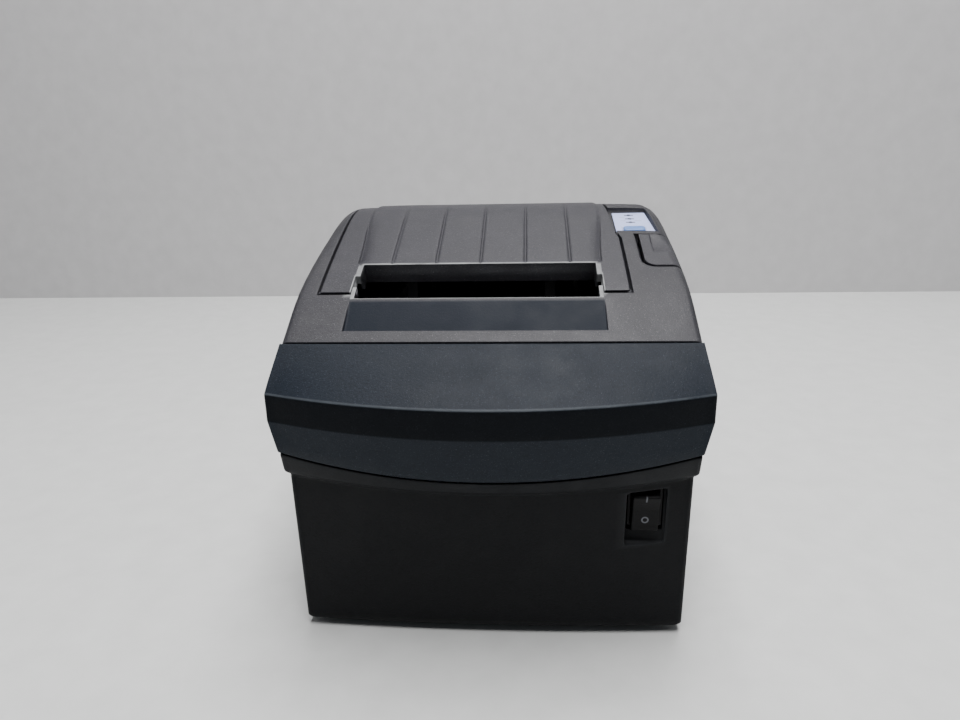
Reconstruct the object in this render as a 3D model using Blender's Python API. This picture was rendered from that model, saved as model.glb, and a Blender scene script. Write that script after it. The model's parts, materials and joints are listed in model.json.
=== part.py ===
"""Desktop receipt printer for 80 mm thermal paper, as an assembly of separate pieces.

Frame: origin on the table under the middle of the printer, +X to its right seen from the front,
-Y towards the front, +Z up. Sizes below are in millimetres; meshes are made in metres.
"""

import math

import bmesh
import bpy
import numpy as np
from mathutils import Matrix, Vector

MM = 0.001

# ---- driving sizes -----------------------------------------------------------------------
HALF_WIDTH = 72.5          # front cover's band, the widest part
BACK_Y = 97.5
FOOT_HEIGHT = 3.0
CASE_HALF = 68.3           # lower case
CASE_FRONT_Y = -79.6
CASE_BACK_Y = 95.4
CASE_TOP_Z = 64.5
BELT_HALF = 69.5
BELT_TOP_Z = 73.1          # at the sides; the belt dips to BELT_DIP_Z in the middle of the front
BELT_DIP_Z = 67.4
SHELL_HALF = 71.2          # upper housing
SEAM_Y = -66.3             # seam between upper housing and front cover
SEAM_Z = 106.2
WALL = 2.4
GAP = 0.3

MECH_X = -5.35             # middle of the paper path
LID_LEFT, LID_RIGHT = -62.5, 50.2
LID_FRONT_Y = -43.2
SLOT_LEFT, SLOT_RIGHT = -49.5, 38.8
SLOT_FRONT_Y, SLOT_BACK_Y = -46.4, -26.0
RIM = 1.5
HINGE_Y, HINGE_Z = 93.0, 110.5

PLATEN_Y, PLATEN_Z = -20.0, 92.0
PLATEN_R = 7.5
PAPER_HALF = 41.0
ROLL_Y, ROLL_Z, ROLL_R = 37.0, 90.0, 43.2

LATCH_Y, LATCH_Z = -22.0, 75.0
BUTTON_PIVOT_Y, BUTTON_PIVOT_Z = -26.5, 122.0

FEED_MODULE, CUT_MODULE = 0.8, 1.0
PLATEN_TEETH, IDLER_TEETH, FEED_PINION_TEETH = 24, 30, 12
CUT_GEAR_TEETH, CUT_MOTOR_TEETH, RACK_PINION_TEETH = 20, 10, 12
CUT_Y, CUT_Z = -52.0, 93.2
BLADE_BOTTOM_Z, BLADE_TOP_Z = 101.5, 102.7

LID_STEP_Y, LID_STEP, LID_TAPER = -5.0, 1.2, 2.3   # the lid's right edge beside the panel
LID_TAPER_Y = 34.0
CROWN_FALL = 1.0           # how far the roof falls from the middle to the shoulders
BARREL_R = 4.2             # round rear edge of the lid, on its hinge
DISH_Y, DISH_Z, DISH_R = -20.5, 127.0, 28.0
PANEL_ORIGIN = (57.0, -1.0, 130.1)
PANEL_SLOPE = 0.245
LAMP_X, LAMPS = -0.5, (13.3, 17.2, 21.1)     # on the panel, from its origin
FEED_KEY = (-4.3, 4.5, 3.0, 7.6)            # left, right, front, back on the panel
SWITCH_X, SWITCH_Z = 52.3, 52.4

FEET = [(-55.0, -66.0), (55.0, -66.0), (-55.0, 80.0), (55.0, 80.0)]
FOOT_NAMES = ["foot_front_left", "foot_front_right", "foot_back_left", "foot_back_right"]
BASE_SCREWS = [(-60.0, -50.0), (60.0, -50.0), (-60.0, 64.0), (60.0, 64.0)]
# Side profile of the upper housing, front to crest and down: (y, z) points on a smooth curve.
PROFILE = [(-66.3, 106.2), (-45, 117.2), (-24, 125.4), (0, 133.5), (12, 137.0), (22, 138.9),
           (30, 139.3), (40, 138.4), (56, 135.6), (74, 131.2)]
BACK_ARC_Y, BACK_ARC_Z, BACK_ARC_R = 71.5, 106.5, 26.0


# ---- finishes ----------------------------------------------------------------------------
def finish(name, colour, roughness, metallic=0.0):
    """A Principled material of one colour."""
    material = bpy.data.materials.new(name)
    material.use_nodes = True
    shader = material.node_tree.nodes["Principled BSDF"]
    shader.inputs["Base Color"].default_value = (*colour, 1.0)
    shader.inputs["Roughness"].default_value = roughness
    shader.inputs["Metallic"].default_value = metallic
    return material


def clear_scene():
    for obj in list(bpy.data.objects):
        bpy.data.objects.remove(obj)


# ---- shape helpers -----------------------------------------------------------------------
def is_bent(face):
    """True for a face whose corners don't lie in one plane."""
    middle = face.calc_center_median()
    return max(abs((v.co - middle).dot(face.normal)) for v in face.verts) > 1e-6


def solid(name, points, faces, material):
    """A closed mesh with its faces pointing out, from points in millimetres."""
    mesh = bpy.data.meshes.new(name)
    work = bmesh.new()
    verts = [work.verts.new(Vector(p) * MM) for p in points]
    for face in faces:
        work.faces.new([verts[i] for i in face])
    work.normal_update()
    bmesh.ops.triangulate(work, faces=[face for face in work.faces if is_bent(face)])
    bmesh.ops.recalc_face_normals(work, faces=work.faces[:])
    if work.calc_volume(signed=True) < 0:
        bmesh.ops.reverse_faces(work, faces=work.faces[:])
    work.to_mesh(mesh)
    work.free()
    mesh.materials.append(material)
    obj = bpy.data.objects.new(name, mesh)
    bpy.context.scene.collection.objects.link(obj)
    return obj


def loft(name, rings, material):
    """Joins rings of equal point count with side faces and closes both ends."""
    count = len(rings[0])
    points = [p for ring in rings for p in ring]
    faces = []
    for r in range(len(rings) - 1):
        for i in range(count):
            j = (i + 1) % count
            faces.append((r * count + i, r * count + j, (r + 1) * count + j, (r + 1) * count + i))
    faces.append(tuple(range(count)))
    faces.append(tuple(range((len(rings) - 1) * count, len(rings) * count)))
    return solid(name, points, faces, material)


def prism(name, outline, axis, low, high, material):
    """Extrudes a flat outline along X (outline in y, z), Y (x, z) or Z (x, y)."""
    def place(a, b, c):
        return {"X": (c, a, b), "Y": (a, c, b), "Z": (a, b, c)}[axis]
    rings = [[place(a, b, c) for a, b in outline] for c in (low, high)]
    return loft(name, rings, material)


def box(name, low, high, material):
    outline = [(low[0], low[1]), (high[0], low[1]), (high[0], high[1]), (low[0], high[1])]
    return prism(name, outline, "Z", low[2], high[2], material)


def arc(cx, cy, radius, start, end, steps):
    """Points along an arc, angles in degrees."""
    angles = np.radians(np.linspace(start, end, steps + 1))
    return [(cx + radius * math.cos(a), cy + radius * math.sin(a)) for a in angles]


def circle(cx, cy, radius, count):
    return arc(cx, cy, radius, 0.0, 360.0 - 360.0 / count, count - 1)


def rounded(x0, x1, y0, y1, radius, steps=3):
    """A rectangle's outline with round corners."""
    return (arc(x1 - radius, y1 - radius, radius, 0, 90, steps)
            + arc(x0 + radius, y1 - radius, radius, 90, 180, steps)
            + arc(x0 + radius, y0 + radius, radius, 180, 270, steps)
            + arc(x1 - radius, y0 + radius, radius, 270, 360, steps))


def rod(name, axis, centre, low, high, radius, material, count=20):
    return prism(name, circle(centre[0], centre[1], radius, count), axis, low, high, material)


def shade(obj):
    """Smooth shading on round sides, with edges over 35 degrees kept sharp."""
    obj.data.shade_smooth()
    obj.data.set_sharp_from_angle(angle=math.radians(35))
    return obj


def combine(target, operation, *tools):
    """Applies exact booleans to target and removes the tools."""
    for tool in tools:
        tool.hide_render = True
        tool.display_type = "WIRE"
        modifier = target.modifiers.new(operation.title(), "BOOLEAN")
        modifier.operation = operation
        modifier.object = tool
    bpy.context.view_layer.update()
    graph = bpy.context.evaluated_depsgraph_get()
    mesh = bpy.data.meshes.new_from_object(target.evaluated_get(graph))
    target.modifiers.clear()
    target.data = mesh
    for tool in tools:
        bpy.data.objects.remove(tool)
    return target


def cut(target, *tools):
    return combine(target, "DIFFERENCE", *tools)


def unite(target, *tools):
    return combine(target, "UNION", *tools)


def keep(target, *tools):
    return combine(target, "INTERSECT", *tools)


def move_by(obj, matrix):
    obj.data.transform(matrix)
    return obj


def on_axis(name, point, pieces):
    """Parents pieces to an empty that stands on their joint's axis."""
    pivot = bpy.data.objects.new("axis_" + name, None)
    pivot.location = Vector(point) * MM
    bpy.context.scene.collection.objects.link(pivot)
    bpy.context.view_layer.update()
    for piece in pieces:
        piece.parent = pivot
        piece.matrix_parent_inverse = pivot.matrix_world.inverted()


# ---- outer surfaces ----------------------------------------------------------------------
def crest(y):
    """Height of the upper housing's middle line: a Hermite curve, then a round back edge."""
    if y > 74.0:
        return BACK_ARC_Z + math.sqrt(max(BACK_ARC_R ** 2 - (y - BACK_ARC_Y) ** 2, 0.0))
    ys = np.array([p[0] for p in PROFILE], float)
    zs = np.array([p[1] for p in PROFILE], float)
    slopes = np.gradient(zs, ys)
    i = int(np.clip(np.searchsorted(ys, y) - 1, 0, len(ys) - 2))
    step = ys[i + 1] - ys[i]
    t = (y - ys[i]) / step
    return float((2 * t**3 - 3 * t**2 + 1) * zs[i] + (t**3 - 2 * t**2 + t) * step * slopes[i]
                 + (3 * t**2 - 2 * t**3) * zs[i + 1] + (t**3 - t**2) * step * slopes[i + 1])


def ease(value, start, end):
    """Smooth step from 0 at start to 1 at end."""
    t = min(max((value - start) / (end - start), 0.0), 1.0)
    return t * t * (3 - 2 * t)


def top_height(x, y):
    """The housing's top: the crest line, falling towards the shoulders on the upper part."""
    fall = CROWN_FALL * ease(y, -40, 25)
    return crest(y) - fall * max(abs(x) - 40.0, 0.0) ** 2 / 31.2 ** 2


def shoulder_radius(y):
    """The round between the roof and the sides grows from the seam to the crest."""
    return 2.5 + 7.5 * ease(y, -50, 28)


def middle_edges(y):
    """Left and right edge of the lid's ribbed middle at y."""
    spread = 2.8 * ease(y, -26, 24)
    return -52.1 - spread, 41.4 + spread


def lid_height(x, y):
    """The lid's ribbed middle: proud at the crest, with a valley beside it behind the slot."""
    left, right = middle_edges(y)
    reach = min(x - left, right - x)
    if reach <= 0 or y < -24.5:
        return top_height(x, y)
    lift = 0.72 * ease(y, -24, 22) * (1 - ease(y, 40, 66)) * ease(reach, 0.0, 2.5)
    lift -= 1.2 * (1 - ease(y, -6, 14)) * (1 - ease(reach, 0.2, 2.5))
    for k in range(-2, 3):
        if abs(x - (-4.6 + 17.0 * k)) < 0.5:
            lift -= 0.5 * (1 - ease(y, 4, 34))
    return top_height(x, y) + lift


def body_section(y, inset, ribbed):
    """The upper housing's outline across X at one station."""
    half = SHELL_HALF - inset
    radius = shoulder_radius(y)
    bottom = BELT_TOP_Z + 0.4 if inset == 0 else BELT_TOP_Z - 6
    if ribbed:
        left, right = middle_edges(y)
        xs = [-58, left - 0.2, left + 0.2, left + 2.5]
        for k in range(-2, 3):
            middle = -4.6 + 17.0 * k
            xs += [middle - 0.7, middle - 0.45, middle + 0.45, middle + 0.7]
        xs += [right - 2.5, right - 0.2, right + 0.2, 56]
    else:
        xs = [-58, -50, -38, 0, 38, 50, 58]
    height = lid_height if ribbed else top_height
    edge = half - radius
    shoulder = top_height(edge, y) - inset * 1.08
    points = [(-half + 1.3, bottom), (-half, bottom + 7)]
    points += [(-edge + radius * math.cos(a), shoulder - radius + radius * math.sin(a))
               for a in np.radians((180, 158, 136, 114, 95))]
    points += [(x, height(x, y) - inset * 1.08) for x in xs]
    points += [(edge + radius * math.cos(a), shoulder - radius + radius * math.sin(a))
               for a in np.radians((85, 66, 44, 22, 0))]
    points += [(half, bottom + 7), (half - 1.3, bottom)]
    return [(x, y, z) for x, z in points]


def body(name, material, inset=0.0, ribbed=False, front=SEAM_Y, back=BACK_Y):
    """The closed outer shape of the upper housing, or the same shape inset for its hollow."""
    stations = [front, -56, -45, -34.5, -26, -24, -12, 0, 10, 18, 26, 34, 45, 60, 74]
    stations += [BACK_ARC_Y + BACK_ARC_R * math.sin(a) for a in np.radians((20, 38, 54, 68, 80))]
    stations = [min(s, back) for s in stations] + [back]
    stations = sorted(set(stations))
    return loft(name, [body_section(y, inset, ribbed) for y in stations], material)


def bow(x, depth, half=HALF_WIDTH):
    """How far the bowed front stands forward at x: a parabola that is 0 at the corners."""
    return depth * (1.0 - min(abs(x) / half, 1.0) ** 2)


def seam_height(x):
    """The belt's top edge: it dips towards the middle of the front."""
    return BELT_TOP_Z - (BELT_TOP_Z - BELT_DIP_Z) * (1.0 - min(abs(x) / 69.0, 1.0) ** 2)


def bowed_ring(half, side_y, depth, back_y, height, corner=2.0, count=14):
    """One horizontal outline: a bowed front with small corners and a straight back."""
    xs = np.linspace(-half + corner, half - corner, count + 1)
    ring = [(x, side_y - bow(x, depth, half), height(x)) for x in xs]
    ring += [(half - 0.3 * corner, side_y + 0.3 * corner, height(half)),
             (half, side_y + corner, height(half)), (half, back_y - corner, height(half)),
             (half - corner, back_y, height(half)), (-half + corner, back_y, height(half)),
             (-half, back_y - corner, height(half)), (-half, side_y + corner, height(half)),
             (-half + 0.3 * corner, side_y + 0.3 * corner, height(half))]
    return ring


# ---- casing ------------------------------------------------------------------------------
def make_lower_case(plastic):
    """A deep tray without a floor: bowed front, belt round its top, switch recess, back window."""
    def level(z):
        return lambda x: z
    outer = loft("lower_case", [
        bowed_ring(CASE_HALF - 1.0, CASE_FRONT_Y + 1.0, 2.0, CASE_BACK_Y - 1, level(FOOT_HEIGHT)),
        bowed_ring(CASE_HALF, CASE_FRONT_Y, 2.3, CASE_BACK_Y, level(FOOT_HEIGHT + 1.2)),
        bowed_ring(CASE_HALF, CASE_FRONT_Y - 0.2, 8.0, CASE_BACK_Y, level(36.0)),
        bowed_ring(CASE_HALF, CASE_FRONT_Y - 0.4, 13.0, CASE_BACK_Y, level(CASE_TOP_Z - 1)),
        bowed_ring(BELT_HALF, CASE_FRONT_Y - 2.8, 11.0, CASE_BACK_Y + 0.9,
                   lambda x: CASE_TOP_Z + 1.8 * abs(x / BELT_HALF)),
        bowed_ring(BELT_HALF, CASE_FRONT_Y - 5.0, 9.2, CASE_BACK_Y + 1.1, seam_height)], plastic)
    inner = loft("inside", [
        bowed_ring(CASE_HALF - WALL, CASE_FRONT_Y + WALL, 2.0, CASE_BACK_Y - WALL, level(-1.0)),
        bowed_ring(CASE_HALF - WALL, CASE_FRONT_Y + WALL, 8.0, CASE_BACK_Y - WALL, level(36.0)),
        bowed_ring(CASE_HALF - WALL, CASE_FRONT_Y + WALL, 12.6, CASE_BACK_Y - WALL,
                   level(CASE_TOP_Z - 1)),
        bowed_ring(CASE_HALF - WALL, CASE_FRONT_Y + WALL - 1.6, 11.0, CASE_BACK_Y - WALL,
                   level(80.0))], plastic)
    x0, x1 = SWITCH_X - 6.8, SWITCH_X + 6.9
    z0, z1 = SWITCH_Z - 12.9, SWITCH_Z + 8.4
    recess = prism("recess", rounded(x0, x1, z0, z1, 1.2), "Y", -92.0, -81.6, plastic)
    window = box("window", (x0 + 0.8, -83.0, z0 + 6.0), (x1 - 0.8, -70.0, z1 - 0.8), plastic)
    back_window = box("back_window", (-52.0, 90.0, 13.0), (30.0, 99.0, 43.0), plastic)
    case = cut(outer, inner, recess, window, back_window)
    backing = prism("backing", rounded(x0 - 2, x1 + 2, z0 - 2, z1 + 2, 1.5), "Y", -84.2, -79.4, plastic)
    backing = cut(backing, prism("recess", rounded(x0, x1, z0, z1, 1.2), "Y", -92.0, -81.6, plastic),
                  box("window", (x0 + 0.8, -83.0, z0 + 6.0), (x1 - 0.8, -70.0, z1 - 0.8), plastic))
    return unite(case, backing)


def make_bottom_plate(plastic):
    """The floor, with pockets for the feet, screw holes and a small switch window."""
    half, back = CASE_HALF - WALL - GAP, CASE_BACK_Y - WALL - GAP
    front = CASE_FRONT_Y + WALL + GAP
    plate = prism("bottom_plate", rounded(-half, half, front, back, 3.0), "Z", FOOT_HEIGHT, 5.4, plastic)
    tools = []
    for x, y in FEET:
        tools.append(rod("pocket", "Z", (x, y), 2.0, FOOT_HEIGHT + 1.0, 7.3, plastic))
    for x, y in BASE_SCREWS:
        tools.append(rod("hole", "Z", (x, y), 2.0, 6.5, 1.9, plastic, 12))
        tools.append(rod("sink", "Z", (x, y), 2.0, FOOT_HEIGHT + 1.4, 3.6, plastic, 16))
    tools.append(box("switch_window", (-13.0, -30.0, 2.0), (13.0, -14.0, 6.0), plastic))
    return cut(plate, *tools)


def make_feet(rubber):
    for (x, y), name in zip(FEET, FOOT_NAMES):
        shade(rod(name, "Z", (x, y), 0.0, FOOT_HEIGHT + 0.7, 7.0, rubber, 24))


def make_screws(steel):
    """Four base screws, each with a cross recess in its head."""
    for index, (x, y) in enumerate(BASE_SCREWS):
        shank = rod(f"base_screw_{index + 1}", "Z", (x, y), 3.6, 11.0, 1.5, steel, 12)
        head = rod("head", "Z", (x, y), FOOT_HEIGHT - 0.2, FOOT_HEIGHT + 1.1, 3.0, steel, 16)
        screw = unite(shank, head)
        slot = box("slot", (x - 1.8, y - 0.3, 2.0), (x + 1.8, y + 0.3, 3.4), steel)
        cross = box("cross", (x - 0.3, y - 1.8, 2.0), (x + 0.3, y + 1.8, 3.4), steel)
        shade(cut(screw, slot, cross))


def lid_outline(grow, front):
    """The lid's footprint, or, grown by a clearance, the hole for it."""
    left, right = LID_LEFT - grow, LID_RIGHT + grow
    narrow = right - LID_STEP - LID_TAPER
    return [(left, front - grow), (right, front - grow), (right, LID_STEP_Y + grow),
            (right - LID_STEP, LID_STEP_Y + grow), (narrow, LID_TAPER_Y),
            (narrow, BACK_Y + 5), (left, BACK_Y + 5)]


def panel_matrix():
    """Turns a piece built flat at the origin into the control panel's tilted plane."""
    normal = Vector((0.0, -PANEL_SLOPE, 1.0)).normalized()
    across = Vector((1.0, 0.0, 0.0))
    along = normal.cross(across)
    place = Matrix((across, along, normal)).transposed().to_4x4()
    place.translation = Vector(PANEL_ORIGIN) * MM
    return place


def key_box(name, grow, low, high, material):
    """A box round the feed button's footprint, in the panel's own plane."""
    left, right, front, back = FEED_KEY
    return box(name, (left - grow, front - grow, low), (right + grow, back + grow, high), material)


def make_upper_housing(plastic):
    """The shell round the lid: lip and tray of the slot, panel recess, opening button's corner."""
    shell = body("upper_housing", plastic)
    hollow = body("hollow", plastic, WALL, front=SEAM_Y - 6, back=BACK_Y - WALL)
    coaming = prism("coaming", lid_outline(2.3, LID_FRONT_Y), "Z", 96.0, 150.0, plastic)
    coaming = cut(coaming, box("low_front", (-70, -60, 90), (70, -40.0, 150), plastic),
                  prism("lid_hole", lid_outline(GAP, LID_FRONT_Y - 20), "Z", 90.0, 160.0, plastic))
    coaming = keep(coaming, body("limit", plastic, 1.0, back=BACK_Y - 1.0))
    shell = cut(shell, hollow)
    shell = unite(shell, coaming)
    tray_wall = [(-48.3, 103.6), (SLOT_FRONT_Y, 103.6), (SLOT_FRONT_Y, 117.4), (-47.4, 117.0),
                 (-60.8, 107.6), (-64.0, 107.2), (-64.0, 104.9), (-60.2, 104.9), (-48.3, 113.2)]
    tray_cut = prism("tray_cut", [(-47.3, 130.0), (-47.3, 116.35), (-60.9, 107.5), (-61.6, 109.0),
                                  (-61.6, 130.0)], "X", -50.6, 40.2, plastic)
    tray = prism("tray", tray_wall, "X", -52.0, 41.6, plastic)
    tray = keep(tray, body("limit", plastic, 0.0, front=-64.0))
    shell = cut(unite(shell, tray), tray_cut)
    rims = []
    for x0, x1 in ((SLOT_LEFT - RIM, SLOT_LEFT), (SLOT_RIGHT, SLOT_RIGHT + RIM)):
        rims.append(prism("rim", [(-47.9, 104.0), (-40.3, 104.0), (-40.3, 119.4), (-47.9, 116.2)],
                          "X", x0, x1, plastic))
    slot = box("slot", (SLOT_LEFT, SLOT_FRONT_Y, 90.0), (SLOT_RIGHT, -30.0, 150.0), plastic)
    lid_hole = prism("lid_hole", lid_outline(GAP, LID_FRONT_Y), "Z", 90.0, 160.0, plastic)
    low_back = box("low_back", (LID_LEFT - GAP, 80.0, 105.9),
                   (LID_RIGHT - LID_STEP - LID_TAPER + GAP, 110.0, 150.0), plastic)
    shell = cut(shell, lid_hole, slot, low_back)
    shell = unite(shell, *rims)
    floor = box("panel_floor", (-7.6, -3.2, -2.2), (12.0, 26.4, 1.0), plastic)
    floor = move_by(floor, panel_matrix())
    recess = prism("recess", [(-9.0, -1.0), (9.1, -1.0), (6.7, 24.3), (-9.0, 24.3)], "Z", 0.0, 12.0,
                   plastic)
    recess = move_by(recess, panel_matrix())
    floor = keep(floor, body("limit", plastic, 0.4),
                 box("right_of_lid", (49.4, -4.3, 90), (72, 40, 150), plastic))
    shell = cut(unite(shell, floor), recess)
    button_hole = key_box("feed_hole", 0.5, -6.0, 4.0, plastic)
    lamp_holes = [move_by(rod("lamp_hole", "Z", (LAMP_X, y), -4.0, 2.0, 1.35, plastic, 12), panel_matrix())
                  for y in LAMPS]
    corner = prism("corner", button_outline(1.4), "Z", 111.6, 150.0, plastic)
    pins = rod("pins", "X", (HINGE_Y, HINGE_Z), -68.0, 56.0, 2.25, plastic, 16)
    return cut(shell, move_by(button_hole, panel_matrix()), corner, pins, *lamp_holes)


def button_outline(grow):
    """Footprint of the cover opening button, round at its front left corner."""
    left, front, back = 57.4 - grow, -27.8 - grow, -5.6 + 0.85 * grow
    radius = 4.0 + grow
    return ([(74.0, back), (left, back)] + arc(left + radius, front + radius, radius, 180, 270, 4)
            + [(74.0, front)])


def make_cover_button(plastic):
    """Cover opening button: a corner of the housing's skin, with a thumb dish and a stem."""
    skin = body("cover_button", plastic)
    skin = cut(skin, body("hollow", plastic, 2.2, front=SEAM_Y - 6))
    skin = keep(skin, prism("limit", button_outline(0.0), "Z", 113.4, 150.0, plastic))
    dish = rod("dish", "X", (DISH_Y, DISH_Z + DISH_R), 61.0, 80.0, DISH_R, plastic, 64)
    stem = box("stem", (60.0, -10.5, 100.4), (63.0, -7.5, 128.8), plastic)
    ear = box("ear", (62.0, -27.2, 119.5), (66.0, -24.0, 123.0), plastic)
    return unite(cut(skin, dish), stem, ear)


def make_front_cover(plastic):
    """The sliding cover over the cutter: sloping top, bowed band and a chamfer under it."""
    def band(x, low, mid):
        return low - (low - mid) * (1 - (x / HALF_WIDTH) ** 2)
    def ring(half, side_y, depth, height, back):
        xs = np.linspace(-half, half, 17)
        points = [(x, side_y - bow(x, depth, half), height(x)) for x in xs]
        return points + [(half, back, height(half)), (-half, back, height(half))]
    def shape(name, inset, back):
        drop = inset * 1.15
        low = 4.0 if inset else 0.0
        rings = [
            ring(69.8 - inset, -84.9 + inset, 9.2, lambda x: seam_height(x) + 0.35 - low, back),
            ring(69.8 - inset, -84.9 + inset, 9.2, lambda x: seam_height(x) + 0.4 - low * 0.9, back),
            ring(72.3 - inset, -84.2 + inset, 13.0, lambda x: band(x, 84.7, 83.7), back),
            ring(72.5 - inset, -83.9 + inset, 13.6, lambda x: band(x, 85.6, 84.7), back),
            ring(72.5 - inset, -83.6 + inset, 13.9, lambda x: 93.6 - drop, back),
            ring(72.3 - inset, -83.0 + inset, 13.7, lambda x: 94.7 - drop, back),
            ring(71.9 - inset, -75.2 + inset * 0.6, 6.8, lambda x: 100.4 - drop, back),
            ring(71.2 - inset, -67.2 + inset * 0.4, 0.3, lambda x: SEAM_Z - 0.1 - drop, back)]
        return loft(name, rings, plastic)
    cover = shape("front_cover", 0.0, SEAM_Y - 0.4)
    return cut(cover, shape("hollow", 2.3, SEAM_Y + 4.0))


def make_roll_cover(plastic):
    """The lid: ribbed middle, tabs beside the slot, a rounded back ending in its hinge barrel."""
    lid = body("roll_cover", plastic, ribbed=True)
    lid = keep(lid, prism("limit", lid_outline(0.0, LID_FRONT_Y), "Z", 107.3, 160.0, plastic))
    hollow = body("hollow", plastic, 2.5, back=BACK_Y - 2.5)
    slot = box("slot", (SLOT_LEFT, -50.0, 90.0), (SLOT_RIGHT, SLOT_BACK_Y, 150.0), plastic)
    notch = box("notch", (SLOT_LEFT - RIM - GAP, -50.0, 90.0),
                (SLOT_RIGHT + RIM + GAP, -33.6, 150.0), plastic)
    lid = cut(lid, hollow, slot, notch)
    front_wall = box("front_wall", (SLOT_LEFT - 1.2, SLOT_BACK_Y, 117.5),
                     (SLOT_RIGHT + 1.2, SLOT_BACK_Y + 1.8, 122.6), plastic)
    low = box("low", (-80.0, -50.0, 90.0), (80.0, 99.0, HINGE_Z), plastic)
    barrel = rod("barrel", "X", (HINGE_Y, HINGE_Z), LID_LEFT, LID_RIGHT - LID_STEP - LID_TAPER, BARREL_R,
                 plastic, 36)
    lid = unite(cut(lid, low), front_wall, barrel)
    return cut(lid, rod("bore", "X", (HINGE_Y, HINGE_Z), -66.0, 54.0, 2.3, plastic, 20))


def make_hinge_pins(steel):
    shade(rod("hinge_pin_left", "X", (HINGE_Y, HINGE_Z), -66.5, -54.6, 2.0, steel))
    shade(rod("hinge_pin_right", "X", (HINGE_Y, HINGE_Z), 39.4, 51.0, 2.0, steel))


def make_cover_frame(plastic):
    """The lid's inner frame: a bridge with two arms that hold the platen's bushes."""
    half = PAPER_HALF + 0.6
    frame = box("cover_frame", (MECH_X - half - 1.8, -25.0, 104.6), (MECH_X + half + 1.8, -7.0, 107.0),
                plastic)
    arms = []
    for x in (MECH_X - half - 1.8, MECH_X + half):
        arms.append(prism("arm", [(-26.0, 106.0), (-14.0, 106.0), (-13.2, 92.0)]
                          + arc(PLATEN_Y, PLATEN_Z, 6.8, 0, -180, 8) + [(-26.8, 92.0)],
                          "X", x, x + 1.8, plastic))
    for x in (-34.0, 20.0):
        arms.append(box("post", (x, -21.0, 106.0), (x + 4.0, -13.0, 123.0), plastic))
    frame = unite(frame, *arms)
    bore = rod("bore", "X", (PLATEN_Y, PLATEN_Z), -60.0, 50.0, 4.3, plastic, 24)
    return cut(frame, bore)


# ---- controls ----------------------------------------------------------------------------
def make_panel(label_plastic, lens_plastic, button_plastic, board):
    """The tilted control panel: printed label, three lamp lenses, feed button and its board."""
    place = panel_matrix()
    label = prism("panel_label", [(-7.4, -0.7), (8.9, -0.7), (6.5, 24.0), (-7.4, 24.0)], "Z", 0.15, 0.65,
                  label_plastic)
    holes = [rod("hole", "Z", (LAMP_X, y), -1.0, 2.0, 1.3, lens_plastic, 12) for y in LAMPS]
    opening = key_box("opening", 0.4, -1.0, 2.0, label_plastic)
    move_by(cut(label, opening, *holes), place)
    guide = box("lamp_lenses", (LAMP_X - 1, LAMPS[0] - 1.5, -3.6), (LAMP_X + 1, LAMPS[-1] + 1.5, -2.6),
                lens_plastic)
    lenses = [rod("lens", "Z", (LAMP_X, y), -3.0, 0.9, 1.05, lens_plastic, 12) for y in LAMPS]
    move_by(unite(guide, *lenses), place)
    button = prism("feed_button", rounded(*FEED_KEY, 1.4), "Z", -2.6, 1.6, button_plastic)
    move_by(button, place)
    on_axis("feed_button", place.translation / MM, [button])
    move_by(box("panel_board", (-3.4, 0.5, -6.4), (7.0, 22.6, -5.0), board), place)


def make_power_switch(plastic):
    """Rocker switch: an open-fronted body and a rocker that turns on its middle line."""
    x0, x1 = SWITCH_X - 5.6, SWITCH_X + 5.7
    z0, z1 = SWITCH_Z - 6.6, SWITCH_Z + 7.4
    case = box("switch_body", (x0, -81.3, z0), (x1, -62.0, z1), plastic)
    inside = box("inside", (x0 + 0.8, -90.0, z0 + 0.6), (x1 - 0.8, -70.0, z1 - 0.6), plastic)
    cut(case, inside)
    middle = 0.5 * (z0 + z1)
    face = [(-75.5, middle - 2.5), (-81.0, middle - 5.6), (-83.2, middle - 5.7), (-83.8, middle),
            (-85.6, middle + 5.4), (-84.8, middle + 5.9), (-75.5, middle + 2.5)]
    rocker = prism("power_rocker", face, "X", x0 + 1.2, x1 - 1.2, plastic)
    on_axis("power_rocker", (SWITCH_X, -78.0, middle), [rocker])


# ---- gears and drives --------------------------------------------------------------------
def gear_outline(teeth, module, centre, phase, backlash=0.16):
    """Straight-flanked teeth through the involute's points at root and tip; a tooth at phase."""
    pitch_r = teeth * module / 2
    base_r = pitch_r * math.cos(math.radians(25))
    tip_r, root_r = pitch_r + 0.85 * module, pitch_r - 1.15 * module
    def half_angle(r):
        r = max(r, base_r)
        lean = math.acos(base_r / r)
        at_pitch = math.radians(25)
        return (math.pi / 2 / teeth - backlash / 2 / pitch_r + math.tan(at_pitch) - at_pitch
                - math.tan(lean) + lean)
    points = []
    for k in range(teeth):
        middle = phase + 2 * math.pi * k / teeth
        for r, side in ((root_r, -1), (tip_r, -1), (tip_r, 1), (root_r, 1)):
            a = middle + side * half_angle(r)
            points.append((centre[0] + r * math.cos(a), centre[1] + r * math.sin(a)))
    return points


def gear(name, teeth, module, centre, phase, low, high, bore, material):
    wheel = prism(name, gear_outline(teeth, module, centre, phase), "X", low, high, material)
    return cut(wheel, rod("bore", "X", centre, low - 1, high + 1, bore, material, 16))


def mate(centre, phase, teeth, other_teeth, module, direction):
    """Centre and phase of a gear in mesh with a given one, in the given direction (radians)."""
    distance = (teeth + other_teeth) * module / 2
    other = (centre[0] + distance * math.cos(direction), centre[1] + distance * math.sin(direction))
    other_phase = direction + math.pi + math.pi / other_teeth - (phase - direction) * teeth / other_teeth
    return other, other_phase


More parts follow.
